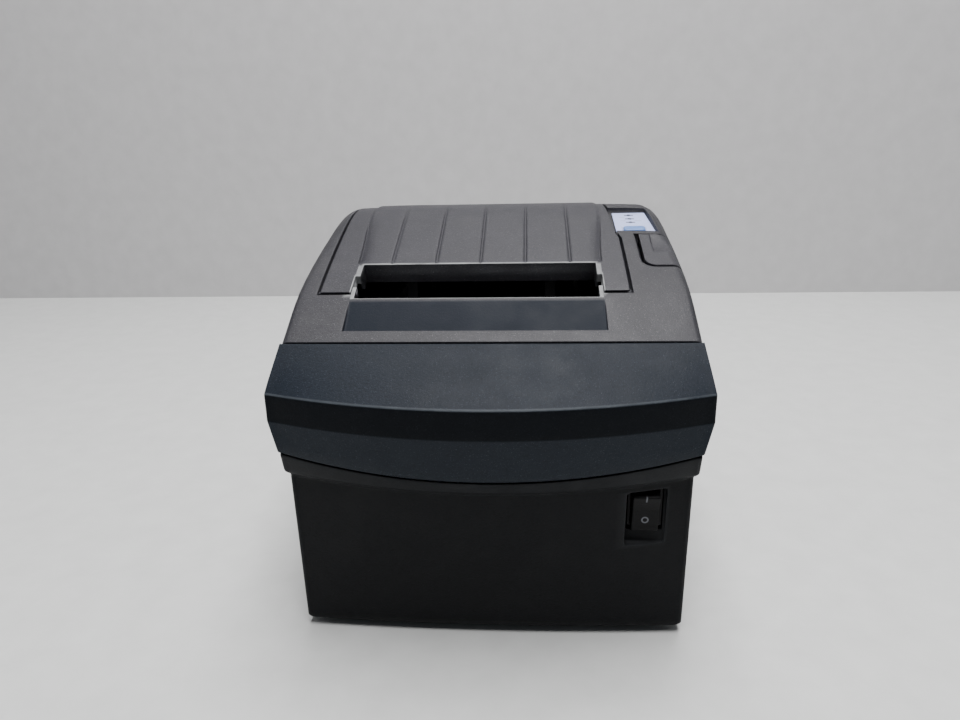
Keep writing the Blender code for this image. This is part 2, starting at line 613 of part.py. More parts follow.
def make_feed_drive(rubber, steel, brass, plastic, motor_metal):
    """Platen with its shaft, bushes and gear on the lid; idler, pinion and motor on the frame."""
    platen = (PLATEN_Y, PLATEN_Z)
    down = math.radians(-80.7)
    idler, idler_phase = mate(platen, down, PLATEN_TEETH, IDLER_TEETH, FEED_MODULE, down)
    motor, motor_phase = mate(idler, idler_phase, IDLER_TEETH, FEED_PINION_TEETH, FEED_MODULE,
                              math.radians(211))
    roller = rod("platen_roller", "X", platen, MECH_X - PAPER_HALF, MECH_X + PAPER_HALF, PLATEN_R,
                 rubber, 36)
    cut(roller, rod("bore", "X", platen, -60, 60, 2.8, rubber, 20))
    shaft = rod("platen_shaft", "X", platen, -59.2, MECH_X + 46.0, 2.5, steel)
    wheel = gear("platen_gear", PLATEN_TEETH, FEED_MODULE, platen, down, -58.6, -54.2, 2.75, plastic)
    on_axis("platen", (MECH_X, *platen), [roller, shaft, wheel])
    for side, name in ((-1, "platen_bush_left"), (1, "platen_bush_right")):
        middle = MECH_X + side * (PAPER_HALF + 1.5)
        bush = rod(name, "X", platen, middle - 1.1, middle + 1.1, 4.0, brass, 24)
        shade(cut(bush, rod("bore", "X", platen, -70, 60, 2.8, brass, 20)))
    idler_gear = gear("idler_gear", IDLER_TEETH, FEED_MODULE, idler, idler_phase, -58.6, -54.2,
                      1.8, plastic)
    on_axis("idler", (-56, *idler), [idler_gear])
    pinion = prism("feed_pinion", gear_outline(FEED_PINION_TEETH, FEED_MODULE, motor, motor_phase),
                   "X", -58.6, -54.2, brass)
    pinion = unite(pinion, rod("spindle", "X", motor, -56.0, -48.0, 1.2, brass, 12))
    on_axis("feed_pinion", (-56, *motor), [pinion])
    body_rod = rod("feed_motor", "X", motor, -49.0, -30.0, 12.3, motor_metal, 28)
    shade(cut(body_rod, rod("nose", "X", motor, -51.0, -47.0, 3.0, motor_metal, 16)))
    return idler, motor


def make_cutter(steel, brass, plastic, motor_metal):
    """Guillotine: a blade on two racks, driven from a motor through a gear and one shaft."""
    shaft_at = (CUT_Y, CUT_Z)
    up = math.radians(90)
    motor, motor_phase = mate(shaft_at, up, CUT_GEAR_TEETH, CUT_MOTOR_TEETH, CUT_MODULE,
                              math.radians(213.6))
    shaft = rod("cutter_shaft", "X", shaft_at, -54.0, 49.6, 2.0, steel, 16)
    big = gear("cutter_gear", CUT_GEAR_TEETH, CUT_MODULE, shaft_at, up, 44.0, 48.6, 2.25, plastic)
    pieces = [shaft, big]
    for side, name in ((-1, "rack_pinion_left"), (1, "rack_pinion_right")):
        middle = MECH_X + side * 34.0
        pieces.append(gear(name, RACK_PINION_TEETH, CUT_MODULE, shaft_at, up, middle - 2, middle + 2,
                           2.25, plastic))
    on_axis("cutter_shaft", (MECH_X, *shaft_at), pieces)
    pitch = math.pi * CUT_MODULE
    line = CUT_Z + RACK_PINION_TEETH * CUT_MODULE / 2
    teeth = []
    for k in range(-3, 1):
        middle = CUT_Y + pitch * (k + 0.5)
        root_half, tip_half = 0.25 * pitch + 0.45 - 0.08, 0.25 * pitch - 0.4 - 0.08
        teeth += [(middle - root_half, line + 1.1), (middle - tip_half, line - 0.85),
                  (middle + tip_half, line - 0.85), (middle + root_half, line + 1.1)]
    outline = [(teeth[0][0] - 0.8, BLADE_BOTTOM_Z + 0.5), (teeth[0][0] - 0.8, line + 1.1)] + teeth
    outline += [(teeth[-1][0] + 0.8, line + 1.1), (teeth[-1][0] + 0.8, BLADE_BOTTOM_Z + 0.5)]
    edge = [(MECH_X - PAPER_HALF, -61.0), (MECH_X + PAPER_HALF, -61.0), (MECH_X + PAPER_HALF, -29.5),
            (MECH_X, -32.5), (MECH_X - PAPER_HALF, -29.5)]
    blade = prism("moving_blade", edge, "Z", BLADE_BOTTOM_Z, BLADE_TOP_Z, steel)
    racks = [prism("rack", outline, "X", MECH_X + side * 34.0 - 1.8, MECH_X + side * 34.0 + 1.8, steel)
             for side in (-1, 1)]
    blade = unite(blade, *racks)
    on_axis("moving_blade", (MECH_X, -45.0, BLADE_BOTTOM_Z), [blade])
    box("fixed_blade", (MECH_X - PAPER_HALF, -26.3, 103.0), (MECH_X + PAPER_HALF, -12.0, 104.2), steel)
    pinion = prism("cutter_pinion", gear_outline(CUT_MOTOR_TEETH, CUT_MODULE, motor, motor_phase),
                   "X", 44.0, 48.6, brass)
    pinion = unite(pinion, rod("spindle", "X", motor, 18.4, 50.0, 1.2, brass, 12))
    dial_edge = []
    for k in range(24):
        a = 2 * math.pi * k / 24
        r = 8.0 if k % 2 else 7.3
        dial_edge.append((motor[0] + r * math.cos(a), motor[1] + r * math.sin(a)))
    dial = prism("cutter_dial", dial_edge, "X", 50.3, 55.6, plastic)
    on_axis("cutter_pinion", (46, *motor), [pinion, dial])
    shade(rod("cutter_motor", "X", motor, -22.0, 18.0, 10.0, motor_metal, 28))
    return motor


# ---- mechanism frame ---------------------------------------------------------------------
def make_mechanism_frame(steel, idler, feed_motor):
    """Two side frames with the platen's notch, a base with legs, a motor shelf, a head bracket."""
    side_outline = [(-58.5, 46.0), (-9.6, 46.0), (-9.6, 97.0), (-15.2, 97.0), (-15.2, 89.5)]
    side_outline += arc(PLATEN_Y, PLATEN_Z - 1.0, 4.8, -15, -165, 6)
    side_outline += [(-24.8, 89.5), (-24.8, 99.5), (-58.5, 99.5)]
    for x, name in ((MECH_X - 47.6, "side_frame_left"), (MECH_X + 46.4, "side_frame_right")):
        plate = prism(name, side_outline, "X", x, x + 1.2, steel)
        tools = [rod("shaft_hole", "X", (CUT_Y, CUT_Z), x - 2, x + 3, 2.35, steel, 16),
                 rod("latch_hole", "X", (LATCH_Y, LATCH_Z), x - 2, x + 3, 2.6, steel, 16)]
        if name == "side_frame_left":
            tools.append(rod("motor_hole", "X", feed_motor, x - 2, x + 3, 5.8, steel, 20))
        cut(plate, *tools)
        if name == "side_frame_left":
            unite(plate, rod("idler_stud", "X", idler, -60.0, -52.0, 1.5, steel, 16))
    base = box("mechanism_base", (MECH_X - 47.6, -60.0, 44.4), (MECH_X + 47.6, -9.6, 45.6), steel)
    legs = []
    for x in (MECH_X - 47.0, MECH_X + 41.0):
        for y in (-59.0, -16.6):
            legs.append(box("leg", (x, y, 5.8), (x + 6.0, y + 6.0, 45.0), steel))
    unite(base, *legs)
    shelf = box("motor_shelf", (MECH_X - 46.0, -74.0, 72.6), (MECH_X + 46.0, -41.0, 73.8), steel)
    unite(shelf, box("head_plate", (MECH_X - 46.0, -42.2, 73.0), (MECH_X + 46.0, -41.0, 95.0), steel))


def coil(name, centre, axis, radius, wire, turns, length, material):
    """A spring: a wire swept along a helix, about Y or X from its low end."""
    steps = turns * 12
    curve = bpy.data.curves.new(name, "CURVE")
    curve.dimensions = "3D"
    curve.bevel_depth = wire * MM
    curve.bevel_resolution = 1
    curve.use_fill_caps = True
    line = curve.splines.new("POLY")
    line.points.add(steps)
    for i in range(steps + 1):
        a = 2 * math.pi * i / 12
        along = length * i / steps
        u, v = radius * math.cos(a), radius * math.sin(a)
        offset = (u, along, v) if axis == "Y" else (along, u, v)
        point = [(c + o) * MM for c, o in zip(centre, offset)]
        line.points[i].co = (*point, 1.0)
    obj = bpy.data.objects.new(name, curve)
    bpy.context.scene.collection.objects.link(obj)
    curve.materials.append(material)
    return obj


def make_print_head(ceramic, aluminium, steel):
    """Print head and heat sink in front of the platen, pressed back by a spring."""
    box("print_head", (MECH_X - PAPER_HALF, -28.9, 84.0), (MECH_X + PAPER_HALF, -27.9, 93.0), ceramic)
    sink = box("heat_sink", (MECH_X - 43.0, -32.6, 78.0), (MECH_X + 43.0, -29.2, 93.0), aluminium)
    grooves = [box("groove", (MECH_X - 50, -34.0, z), (MECH_X + 50, -30.6, z + 1.2), aluminium)
               for z in (80.0, 83.0, 88.6)]
    cut(sink, *grooves)
    coil("head_spring", (MECH_X, -40.1, 86.6), "Y", 2.4, 0.4, 4, 6.6, steel)


def make_latch(steel, spring_steel, plastic):
    """Latch shaft across the frame, a hook at each end of the platen and the arm to the button."""
    centre = (LATCH_Y, LATCH_Z)
    shaft = rod("latch_shaft", "X", centre, -54.0, 64.0, 2.2, steel, 16)
    hook = arc(LATCH_Y, LATCH_Z, 5.0, 110, 400, 10)
    hook += [(-11.8, 84.0), (-11.8, 98.0), (-17.0, 98.0), (-16.8, 95.6), (-14.6, 95.2), (-14.6, 86.0)]
    pieces = [shaft]
    for x, name in ((MECH_X - 45.7, "latch_hook_left"), (MECH_X + 44.1, "latch_hook_right")):
        piece = prism(name, hook, "X", x, x + 1.6, steel)
        pieces.append(cut(piece, rod("bore", "X", centre, -70, 70, 2.45, steel, 16)))
    arm = arc(LATCH_Y, LATCH_Z, 5.0, 95, 395, 10) + [(-8.4, 92.0), (-5.6, 96.0), (-5.6, 99.8), (-12.8, 99.8)]
    piece = prism("latch_arm", arm, "X", 60.2, 62.8, plastic)
    pieces.append(cut(piece, rod("bore", "X", centre, 50, 70, 2.45, plastic, 16)))
    on_axis("latch", (MECH_X, *centre), pieces)
    coil("latch_spring", (46.0, *centre), "X", 3.4, 0.4, 5, 6.0, spring_steel)


# ---- paper store and electronics ---------------------------------------------------------
def make_roll_bin(plastic):
    """The cradle that a loose paper roll lies in."""
    def cradle(radius, top):
        return ([(ROLL_Y - radius, top), (ROLL_Y - radius, ROLL_Z)]
                + arc(ROLL_Y, ROLL_Z, radius, 180, 360, 16)[1:] + [(ROLL_Y + radius, top)])
    half = PAPER_HALF + 1.0
    solid_bin = prism("roll_bin", cradle(ROLL_R + 1.6, 97.0), "X", MECH_X - half - 1.6,
                      MECH_X + half + 1.6, plastic)
    inside = prism("inside", cradle(ROLL_R, 110.0), "X", MECH_X - half, MECH_X + half, plastic)
    return cut(solid_bin, inside)


def make_near_end_sensor(plastic):
    sensor = box("near_end_sensor", (39.2, 26.0, 52.0), (46.0, 38.0, 66.0), plastic)
    knob = rod("knob", "X", (32.0, 59.0), 45.0, 49.0, 3.0, plastic, 16)
    return unite(sensor, knob)


def make_boards(board, plastic):
    """Main board under the roll bin, interface board and three sockets at the back."""
    main = box("main_board", (-58.0, -4.0, 12.0), (58.0, 84.0, 13.6), board)
    chips = [box("chip", (x, y, 13.0), (x + w, y + d, 13.6 + h), board)
             for x, y, w, d, h in ((-30, 20, 16, 16, 2), (6, 24, 10, 14, 2), (30, 4, 12, 12, 10),
                                   (-50, 4, 14, 8, 8), (34, 50, 14, 20, 12))]
    riser = box("riser", (-50.0, 82.6, 12.5), (28.0, 84.2, 42.0), board)
    unite(main, riser, *chips)
    make_socket("data_socket", (-44.0, 20.0), (-4.0, 31.0), 9.5, (1.6, 1.8), plastic)
    make_socket("drawer_socket", (1.0, 18.0), (13.0, 32.0), 9.5, (1.4, 2.4), plastic)
    inlet = prism("power_inlet", rounded(15.4, 25.0, 33.6, 42.0, 2.0), "Y", 86.6, 97.0, plastic)
    cut(inlet, rod("mouth", "Y", (20.2, 37.8), 89.0, 99.0, 3.2, plastic, 20))


def make_socket(name, low, high, depth, wall, plastic):
    """A rectangular socket open to the back, with a contact tongue inside."""
    shell = box(name, (low[0], 86.6, low[1]), (high[0], 97.0, high[1]), plastic)
    mouth = box("mouth", (low[0] + wall[0], 96.9 - depth + 1, low[1] + wall[1]),
                (high[0] - wall[0], 99.0, high[1] - wall[1]), plastic)
    return cut(shell, mouth)


def make_interface_plate(steel):
    """The plate that closes the back window, with a cut-out for each socket."""
    plate = prism("interface_plate", rounded(-51.7, 29.7, 13.3, 42.7, 1.0), "Y", 93.6, 94.6, steel)
    holes = [box("hole", (-44.4, 92, 19.6), (-3.6, 96, 31.4), steel),
             box("hole", (0.6, 92, 17.6), (13.4, 96, 32.4), steel),
             prism("hole", rounded(15.0, 25.4, 33.2, 42.4, 2.2), "Y", 92.0, 96.0, steel)]
    return cut(plate, *holes)


def make_switch_cover(plastic):
    return box("switch_cover", (-12.6, -29.6, FOOT_HEIGHT + 0.2), (12.6, -14.4, 5.0), plastic)


def main():
    clear_scene()
    charcoal = finish("charcoal_plastic", (0.075, 0.080, 0.088), 0.55)
    case_black = finish("case_plastic", (0.045, 0.047, 0.050), 0.55)
    black = finish("black_plastic", (0.015, 0.015, 0.016), 0.45)
    rubber = finish("rubber", (0.03, 0.03, 0.03), 0.8)
    steel = finish("steel", (0.55, 0.56, 0.58), 0.35, 1.0)
    motor_metal = finish("motor_metal", (0.35, 0.36, 0.38), 0.4, 1.0)
    aluminium = finish("aluminium", (0.75, 0.76, 0.78), 0.4, 1.0)
    brass = finish("brass", (0.75, 0.55, 0.25), 0.35, 1.0)
    white = finish("gear_plastic", (0.75, 0.74, 0.70), 0.45)
    board = finish("board", (0.03, 0.16, 0.07), 0.5)
    label = finish("label_plastic", (0.58, 0.61, 0.80), 0.4)
    lens = finish("lens", (0.05, 0.06, 0.09), 0.25)
    blue = finish("feed_button_plastic", (0.20, 0.36, 0.62), 0.4)
    ceramic = finish("ceramic", (0.80, 0.79, 0.74), 0.3)

    make_lower_case(case_black)
    make_bottom_plate(case_black)
    make_feet(rubber)
    make_screws(steel)
    make_switch_cover(case_black)
    make_upper_housing(charcoal)
    button = make_cover_button(charcoal)
    on_axis("cover_button", (64.0, BUTTON_PIVOT_Y, BUTTON_PIVOT_Z), [button])
    front = make_front_cover(charcoal)
    on_axis("front_cover", (0.0, SEAM_Y, SEAM_Z), [front])
    lid_pieces = [make_roll_cover(charcoal), make_cover_frame(black)]
    make_hinge_pins(steel)
    make_panel(label, lens, blue, board)
    make_power_switch(black)
    idler, feed_motor = make_feed_drive(rubber, steel, brass, white, motor_metal)
    make_cutter(steel, brass, white, motor_metal)
    make_mechanism_frame(steel, idler, feed_motor)
    make_print_head(ceramic, aluminium, steel)
    make_latch(steel, steel, black)
    make_roll_bin(black)
    make_near_end_sensor(black)
    make_boards(board, black)
    make_interface_plate(steel)
    lid_pieces += [bpy.data.objects[name] for name in
                   ("fixed_blade", "platen_bush_left", "platen_bush_right")]
    on_axis("roll_cover", (MECH_X, HINGE_Y, HINGE_Z), lid_pieces)


main()
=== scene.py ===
"""Looks of a desktop receipt printer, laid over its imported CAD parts.

Sizes in the functions are millimetres.
"""
import json
import math

import bmesh
import bpy
import numpy as np
from mathutils import Matrix, Vector


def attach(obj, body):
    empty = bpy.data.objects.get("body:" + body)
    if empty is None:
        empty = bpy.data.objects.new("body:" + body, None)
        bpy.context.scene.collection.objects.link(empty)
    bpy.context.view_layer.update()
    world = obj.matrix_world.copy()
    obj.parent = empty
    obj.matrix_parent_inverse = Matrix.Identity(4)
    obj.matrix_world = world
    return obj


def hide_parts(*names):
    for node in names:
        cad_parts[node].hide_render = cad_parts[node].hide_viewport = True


MM = 0.001
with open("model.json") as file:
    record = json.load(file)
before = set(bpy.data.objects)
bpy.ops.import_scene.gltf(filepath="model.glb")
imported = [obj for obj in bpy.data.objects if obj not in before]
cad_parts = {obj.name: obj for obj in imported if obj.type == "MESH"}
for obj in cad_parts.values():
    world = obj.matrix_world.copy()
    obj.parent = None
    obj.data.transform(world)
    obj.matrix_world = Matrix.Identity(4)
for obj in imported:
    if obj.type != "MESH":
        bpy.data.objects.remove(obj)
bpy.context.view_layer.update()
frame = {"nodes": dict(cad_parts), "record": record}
nodes = frame["nodes"]

# ---- driving sizes -----------------------------------------------------------------------
SHELL_HALF = 71.2           # upper housing, half its width
SHELL_BOTTOM = 73.5
SEAM_Y, BACK_Y = -66.3, 97.5
LID_LEFT, LID_RIGHT, LID_FRONT = -62.5, 49.7, -43.2
LID_STEP_Y = -5.0           # where the lid's right edge steps in beside the control panel
SIDE_GAP, FRONT_GAP = 1.0, 1.2       # beside and in front of the lid and the button
TURN_X = 67.0               # the shoulders' side part starts here
SLOT_LEFT, SLOT_RIGHT, SLOT_FRONT, SLOT_BACK = -49.5, 38.8, -46.4, -26.0
TONGUES = (-51.0, 40.3)     # outer edges of the rim's two tongues, left and right of the slot
NOTCH_STEP = 1.8            # how far a notch reaches past the slot's end
NOTCH_FRONT, NOTCH_BACK = -40.3, -33.6
TRAY = (-50.7, 40.3, -61.4, -47.3)
HINGE_Y, HINGE_Z, BARREL_R = 93.0, 110.5, 4.2
GROOVES = (-38.6, -21.6, -4.6, 12.4, 29.4)
BUTTON = (57.4, -27.8, -5.2, 113.6)      # left, front, back, lower edge on the side
BUTTON_CORNER = 4.2
DISH = (-20.5, 155.0, 28.0)              # thumb dish: its axis in Y and Z, and its radius
PANEL_X, PANEL_Y, PANEL_Z, PANEL_SLOPE = 57.0, -1.0, 130.1, 0.245
PANEL_FRONT, PANEL_BACK, PANEL_RIGHT, PANEL_TAPER = -2.0, 22.7, 65.85, 0.098
CROWN_FALL = 1.0            # how far the roof falls from the middle to the shoulders
LAMP_X, LAMPS = -0.5, (13.3, 17.2, 21.1)
FEED_KEY = (-4.3, 4.5, 3.0, 7.6)         # left, right, front, back on the panel
SWITCH_X = 52.3
RECESS = (45.5, 59.25, 39.5, 60.8)       # switch recess: left, right, low, high
WINDOW = (-52.0, 30.0, 13.0, 43.0)       # back window
EDGE = 0.35                 # radius of a moulded edge
STEEP = 0.05                # sideways run of a wall
PROFILE = np.array([(-66.3, 106.2), (-45, 117.2), (-24, 125.4), (0, 133.5), (12, 137.0),
                    (22, 138.9), (30, 139.3), (40, 138.4), (56, 135.6), (74, 131.2)])
BACK_ARC_Y, BACK_ARC_Z, BACK_ARC_R = 71.5, 106.5, 26.0


# ---- small maths -------------------------------------------------------------------------
def ease(value, start, end):
    """Smooth step from 0 at start to 1 at end."""
    t = np.clip((value - start) / (end - start), 0.0, 1.0)
    return t * t * (3 - 2 * t)


def crest(y):
    """The roof's height on the middle line: a cubic through PROFILE's points, then the back arc."""
    ys, zs = PROFILE[:, 0], PROFILE[:, 1]
    slopes = np.gradient(zs, ys)
    slopes[0] = (zs[1] - zs[0]) / (ys[1] - ys[0])
    arc_slope = -(ys[-1] - BACK_ARC_Y) / (zs[-1] - BACK_ARC_Z)
    slopes[-1] = arc_slope
    y = np.asarray(y, float)
    i = np.clip(np.searchsorted(ys, y) - 1, 0, len(ys) - 2)
    step = ys[i + 1] - ys[i]
    t = (y - ys[i]) / step
    cubic = ((2 * t**3 - 3 * t**2 + 1) * zs[i] + (t**3 - 2 * t**2 + t) * step * slopes[i]
             + (3 * t**2 - 2 * t**3) * zs[i + 1] + (t**3 - t**2) * step * slopes[i + 1])
    lift = np.sqrt(np.maximum(BACK_ARC_R**2 - (y - BACK_ARC_Y) ** 2, 0.0))
    return np.where(y > ys[-1], BACK_ARC_Z + lift, cubic)


def roof(x, y):
    """The crest line, falling towards the shoulders on the upper part."""
    fall = CROWN_FALL * ease(y, -40, 25)
    return crest(y) - fall * np.maximum(np.abs(x) - 40.0, 0.0) ** 2 / 31.2**2


def shoulder_radius(y):
    """The round between roof and sides grows from the seam to the crest."""
    return 2.5 + 7.5 * ease(y, -50, 28)


def half_width(y):
    """Half the housing's width: its upright back corners are 3 mm rounds."""
    return SHELL_HALF - (3.0 - np.sqrt(np.maximum(9.0 - np.maximum(y - 94.5, 0.0) ** 2, 0.0)))


def surface(x, y):
    """The roof with its round shoulders, as a height over x and y."""
    radius = shoulder_radius(y)
    edge = half_width(y) - radius
    over = np.clip(np.abs(x) - edge, 0.0, radius * 0.999)
    rim = roof(edge, y) - radius + np.sqrt(radius**2 - over**2)
    return np.where(np.abs(x) > edge, rim, roof(x, y))


def roof_normal(x, y):
    """Unit normals of the surface, from its slopes over a tenth of a millimetre."""
    step = 0.05
    y0 = np.minimum(y - step, BACK_Y - 2 * step)
    y1 = np.minimum(y + step, BACK_Y - step)
    across = (surface(x + step, y) - surface(x - step, y)) / (2 * step)
    along = (surface(x, y1) - surface(x, y0)) / (y1 - y0)
    normal = np.stack([-across, -along, np.ones_like(across)], -1)
    return normal / np.linalg.norm(normal, axis=-1, keepdims=True)


def lines(*parts):
    """Sorted grid lines from several lists, with near doubles dropped."""
    values = np.sort(np.concatenate([np.atleast_1d(np.asarray(p, float)) for p in parts]))
    kept = np.concatenate([[True], np.diff(values) > 0.012])
    return values[kept]


def edge_lines(at, side, radius=EDGE):
    """Grid lines that round an edge: side is +1 when the hollow lies above the value."""
    steps = np.array([-radius, -0.62 * radius, -0.28 * radius, -0.06 * radius, 0.0, STEEP])
    return at + side * steps


def run(low, high, count):
    return np.linspace(low, high, count)


def within(value, low, high):
    """Distance inside a band, negative outside it."""
    return np.minimum(value - low, high - value)


def drop(distance, depth, radius=EDGE):
    """How far a wall has fallen: a quarter round at its edge, then straight down to depth."""
    t = np.clip((distance + radius) / radius, 0.0, 1.0)
    rolled = radius * (1.0 - np.sqrt(np.maximum(1.0 - t * t, 0.0)))
    return np.where(distance >= STEEP * 0.5, np.maximum(depth, 0.0), np.minimum(rolled, depth))


def soften(x, y, corner_x, corner_y, radius, side_x, side_y):
    """Moves grid points so that a square corner of a hole becomes an arc; it fades out around it."""
    px, py = side_x * (x - corner_x) / radius, side_y * (y - corner_y) / radius
    along = px - py
    level = np.minimum(px, py)
    angle = np.radians(180.0 + 45.0 * (np.clip(along, -1, 1) + 1))
    shift_x = 1 + np.cos(angle) - np.clip(along, 0, 1)
    shift_y = 1 + np.sin(angle) - np.clip(-along, 0, 1)
    fade = np.clip(1 - np.abs(level) / 0.95, 0, 1) * (np.abs(along) < 1)
    return x + side_x * radius * shift_x * fade, y + side_y * radius * shift_y * fade


# ---- mesh makers -------------------------------------------------------------------------
def mesh_from(name, points, faces, material, attributes=None):
    """A smooth-shaded object from arrays in millimetres; unused points are left out."""
    used, index = np.unique(faces.ravel(), return_inverse=True)
    mesh = bpy.data.meshes.new(name)
    mesh.from_pydata((points[used] * MM).tolist(), [], index.reshape(faces.shape).tolist())
    for key, values in (attributes or {}).items():
        layer = mesh.attributes.new(key, "FLOAT", "POINT")
        layer.data.foreach_set("value", values[used].astype(np.float32))
    mesh.materials.append(material)
    mesh.shade_smooth()
    obj = bpy.data.objects.new(name, mesh)
    bpy.context.scene.collection.objects.link(obj)
    return obj


def grid_faces(rows, cols, keep=None, wrap=False, start=0):
    """Quads of a grid of points; wrap joins the last column to the first."""
    index = start + np.arange(rows * cols).reshape(rows, cols)
    if wrap:
        index = np.concatenate([index, index[:, :1]], 1)
    quads = np.stack([index[:-1, :-1], index[:-1, 1:], index[1:, 1:], index[1:, :-1]], -1)
    return quads[keep] if keep is not None else quads.reshape(-1, 4)


def inner(mask):
    """A quad mask from a point mask: true where all four corners are true."""
    return mask[:-1, :-1] & mask[:-1, 1:] & mask[1:, 1:] & mask[1:, :-1]


def weld(obj, distance=1e-6):
    """Merges points that lie together."""
    work = bmesh.new()
    work.from_mesh(obj.data)
    bmesh.ops.remove_doubles(work, verts=work.verts[:], dist=distance)
    work.to_mesh(obj.data)
    work.free()
    return obj


def thicken(obj, thickness, even=False):
    """Gives a skin its wall, on the inner side, with closed rims."""
    wall = obj.modifiers.new("wall", "SOLIDIFY")
    wall.thickness = thickness * MM
    wall.offset = -1.0
    wall.use_even_offset = even
    wall.use_rim = True
    return obj


def place(obj, body, slot, *replaced):
    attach(obj, body)
    if replaced:
        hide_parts(*replaced)
    return obj


# ---- materials ---------------------------------------------------------------------------
def new_material(name):
    material = bpy.data.materials.new(name)
    material.use_nodes = True
    return material, material.node_tree, material.node_tree.nodes["Principled BSDF"]


def add(tree, kind, **settings):
    node = tree.nodes.new(kind)
    for key, value in settings.items():
        if key in node.inputs:
            node.inputs[key].default_value = value
        else:
            setattr(node, key, value)
    return node


def noise(tree, coords, scale, detail=2.0, roughness=0.5):
    node = add(tree, "ShaderNodeTexNoise", Scale=scale, Detail=detail, Roughness=roughness)
    tree.links.new(coords, node.inputs["Vector"])
    return node.outputs["Fac"]


def span(tree, value, low, high, to_low=0.0, to_high=1.0):
    node = add(tree, "ShaderNodeMapRange")
    for key, number in (("From Min", low), ("From Max", high), ("To Min", to_low), ("To Max", to_high)):
        node.inputs[key].default_value = number
    tree.links.new(value, node.inputs["Value"])
    return node.outputs["Result"]


def blend_colour(tree, factor, first, second):
    """Mixes two colours, each a tuple or a socket."""
    node = add(tree, "ShaderNodeMix", data_type="RGBA")
    tree.links.new(factor, node.inputs["Factor"])
    for key, value in (("A", first), ("B", second)):
        socket = [s for s in node.inputs if s.name == key and s.type == "RGBA"][0]
        if isinstance(value, tuple):
            socket.default_value = (*value, 1.0)
        else:
            tree.links.new(value, socket)
    return [s for s in node.outputs if s.type == "RGBA"][0]


def lay_ink_and_painted_shade(material, colour, strength=1.0, sheen=None):
    """Lays one colour over a material where its overlay attribute is 1: print on the label and the rocker,
    painted shade on the tray and the front band.
    """
    tree, shader = material.node_tree, material.node_tree.nodes["Principled BSDF"]
    below = shader.inputs["Base Color"].links[0].from_socket
    ink_and_painted_shade = add(tree, "ShaderNodeAttribute", attribute_name="ink_and_painted_shade").outputs["Fac"]
    amount = span(tree, ink_and_painted_shade, 0.0, 1.0, 0.0, strength)
    tree.links.new(blend_colour(tree, amount, below, colour), shader.inputs["Base Color"])
    if sheen is not None:
        rest = shader.inputs["Specular IOR Level"].default_value
        tree.links.new(span(tree, ink_and_painted_shade, 0.0, 1.0, rest, sheen), shader.inputs["Specular IOR Level"])
    return material


def moulded(name, colour, light, roughness, grain=1.0, sparkle=0.5, dust=0.05, painted_highlight=None, sheen=0.5):
    """Spark-textured moulding: pitted grain, pale specks painted as the texture's glints, drifting tone,
    dust, and a painted highlight on edges where the "edge" attribute is set.
    """
    material, tree, shader = new_material(name)
    coords = add(tree, "ShaderNodeTexCoord").outputs["Object"]
    fine = noise(tree, coords, 2600.0 / grain, 3.0, 0.6)
    pits = noise(tree, coords, 1100.0 / grain, 2.0, 0.5)
    drift = noise(tree, coords, 24.0, 4.0, 0.55)
    smudge = noise(tree, coords, 85.0, 5.0, 0.6)
    tone = blend_colour(tree, span(tree, drift, 0.3, 0.7), tuple(c * 0.93 for c in colour),
                        tuple(c * 1.07 for c in colour))
    # pale specks: painted glints of the spark texture
    painted_glints = span(tree, fine, 0.60, 0.74, 0.0, sparkle)
    tone = blend_colour(tree, painted_glints, tone, light)
    hollows = span(tree, pits, 0.30, 0.46, 0.55, 0.0)
    tone = blend_colour(tree, hollows, tone, tuple(c * 0.5 for c in colour))
    haze = span(tree, smudge, 0.52, 0.80, 0.0, dust)
    tone = blend_colour(tree, haze, tone, (0.30, 0.30, 0.29))
    # painted highlight: a paler colour on the marked edges, broken up by the smudge noise
    if painted_highlight:
        edge = add(tree, "ShaderNodeAttribute", attribute_name="edge").outputs["Fac"]
        highlight_share = add(tree, "ShaderNodeMath", operation="MULTIPLY")
        tree.links.new(edge, highlight_share.inputs[0])
        tree.links.new(span(tree, smudge, 0.25, 0.65, 0.35, 1.0), highlight_share.inputs[1])
        tone = blend_colour(tree, highlight_share.outputs["Value"], tone, painted_highlight)
    tree.links.new(tone, shader.inputs["Base Color"])
    tree.links.new(span(tree, smudge, 0.3, 0.75, roughness - 0.05, roughness + 0.10),
                   shader.inputs["Roughness"])
    shader.inputs["Specular IOR Level"].default_value = sheen
    mix = add(tree, "ShaderNodeMath", operation="ADD")
    tree.links.new(fine, mix.inputs[0])
    tree.links.new(pits, mix.inputs[1])
    bump = add(tree, "ShaderNodeBump", Strength=0.55, Distance=0.00012)
    tree.links.new(mix.outputs["Value"], bump.inputs["Height"])
    tree.links.new(bump.outputs["Normal"], shader.inputs["Normal"])
    return material


def metal(name, colour, roughness, stretch, tarnish=0.25):
    """Rolled or turned metal: fine lines along one way, soft stains and uneven gloss."""
    material, tree, shader = new_material(name)
    coords = add(tree, "ShaderNodeTexCoord").outputs["Object"]
    mapping = add(tree, "ShaderNodeMapping")
    mapping.inputs["Scale"].default_value = stretch
    tree.links.new(coords, mapping.inputs["Vector"])
    streaks = noise(tree, mapping.outputs["Vector"], 900.0, 3.0, 0.6)
    stains = noise(tree, coords, 60.0, 4.0, 0.6)
    tone = blend_colour(tree, span(tree, stains, 0.45, 0.8, 0.0, tarnish), colour,
                        tuple(c * 0.55 for c in colour))
    tree.links.new(tone, shader.inputs["Base Color"])
    shader.inputs["Metallic"].default_value = 1.0
    tree.links.new(span(tree, streaks, 0.3, 0.7, roughness - 0.08, roughness + 0.12),
                   shader.inputs["Roughness"])
    bump = add(tree, "ShaderNodeBump", Strength=0.25, Distance=0.00004)
    tree.links.new(streaks, bump.inputs["Height"])
    tree.links.new(bump.outputs["Normal"], shader.inputs["Normal"])
    return material


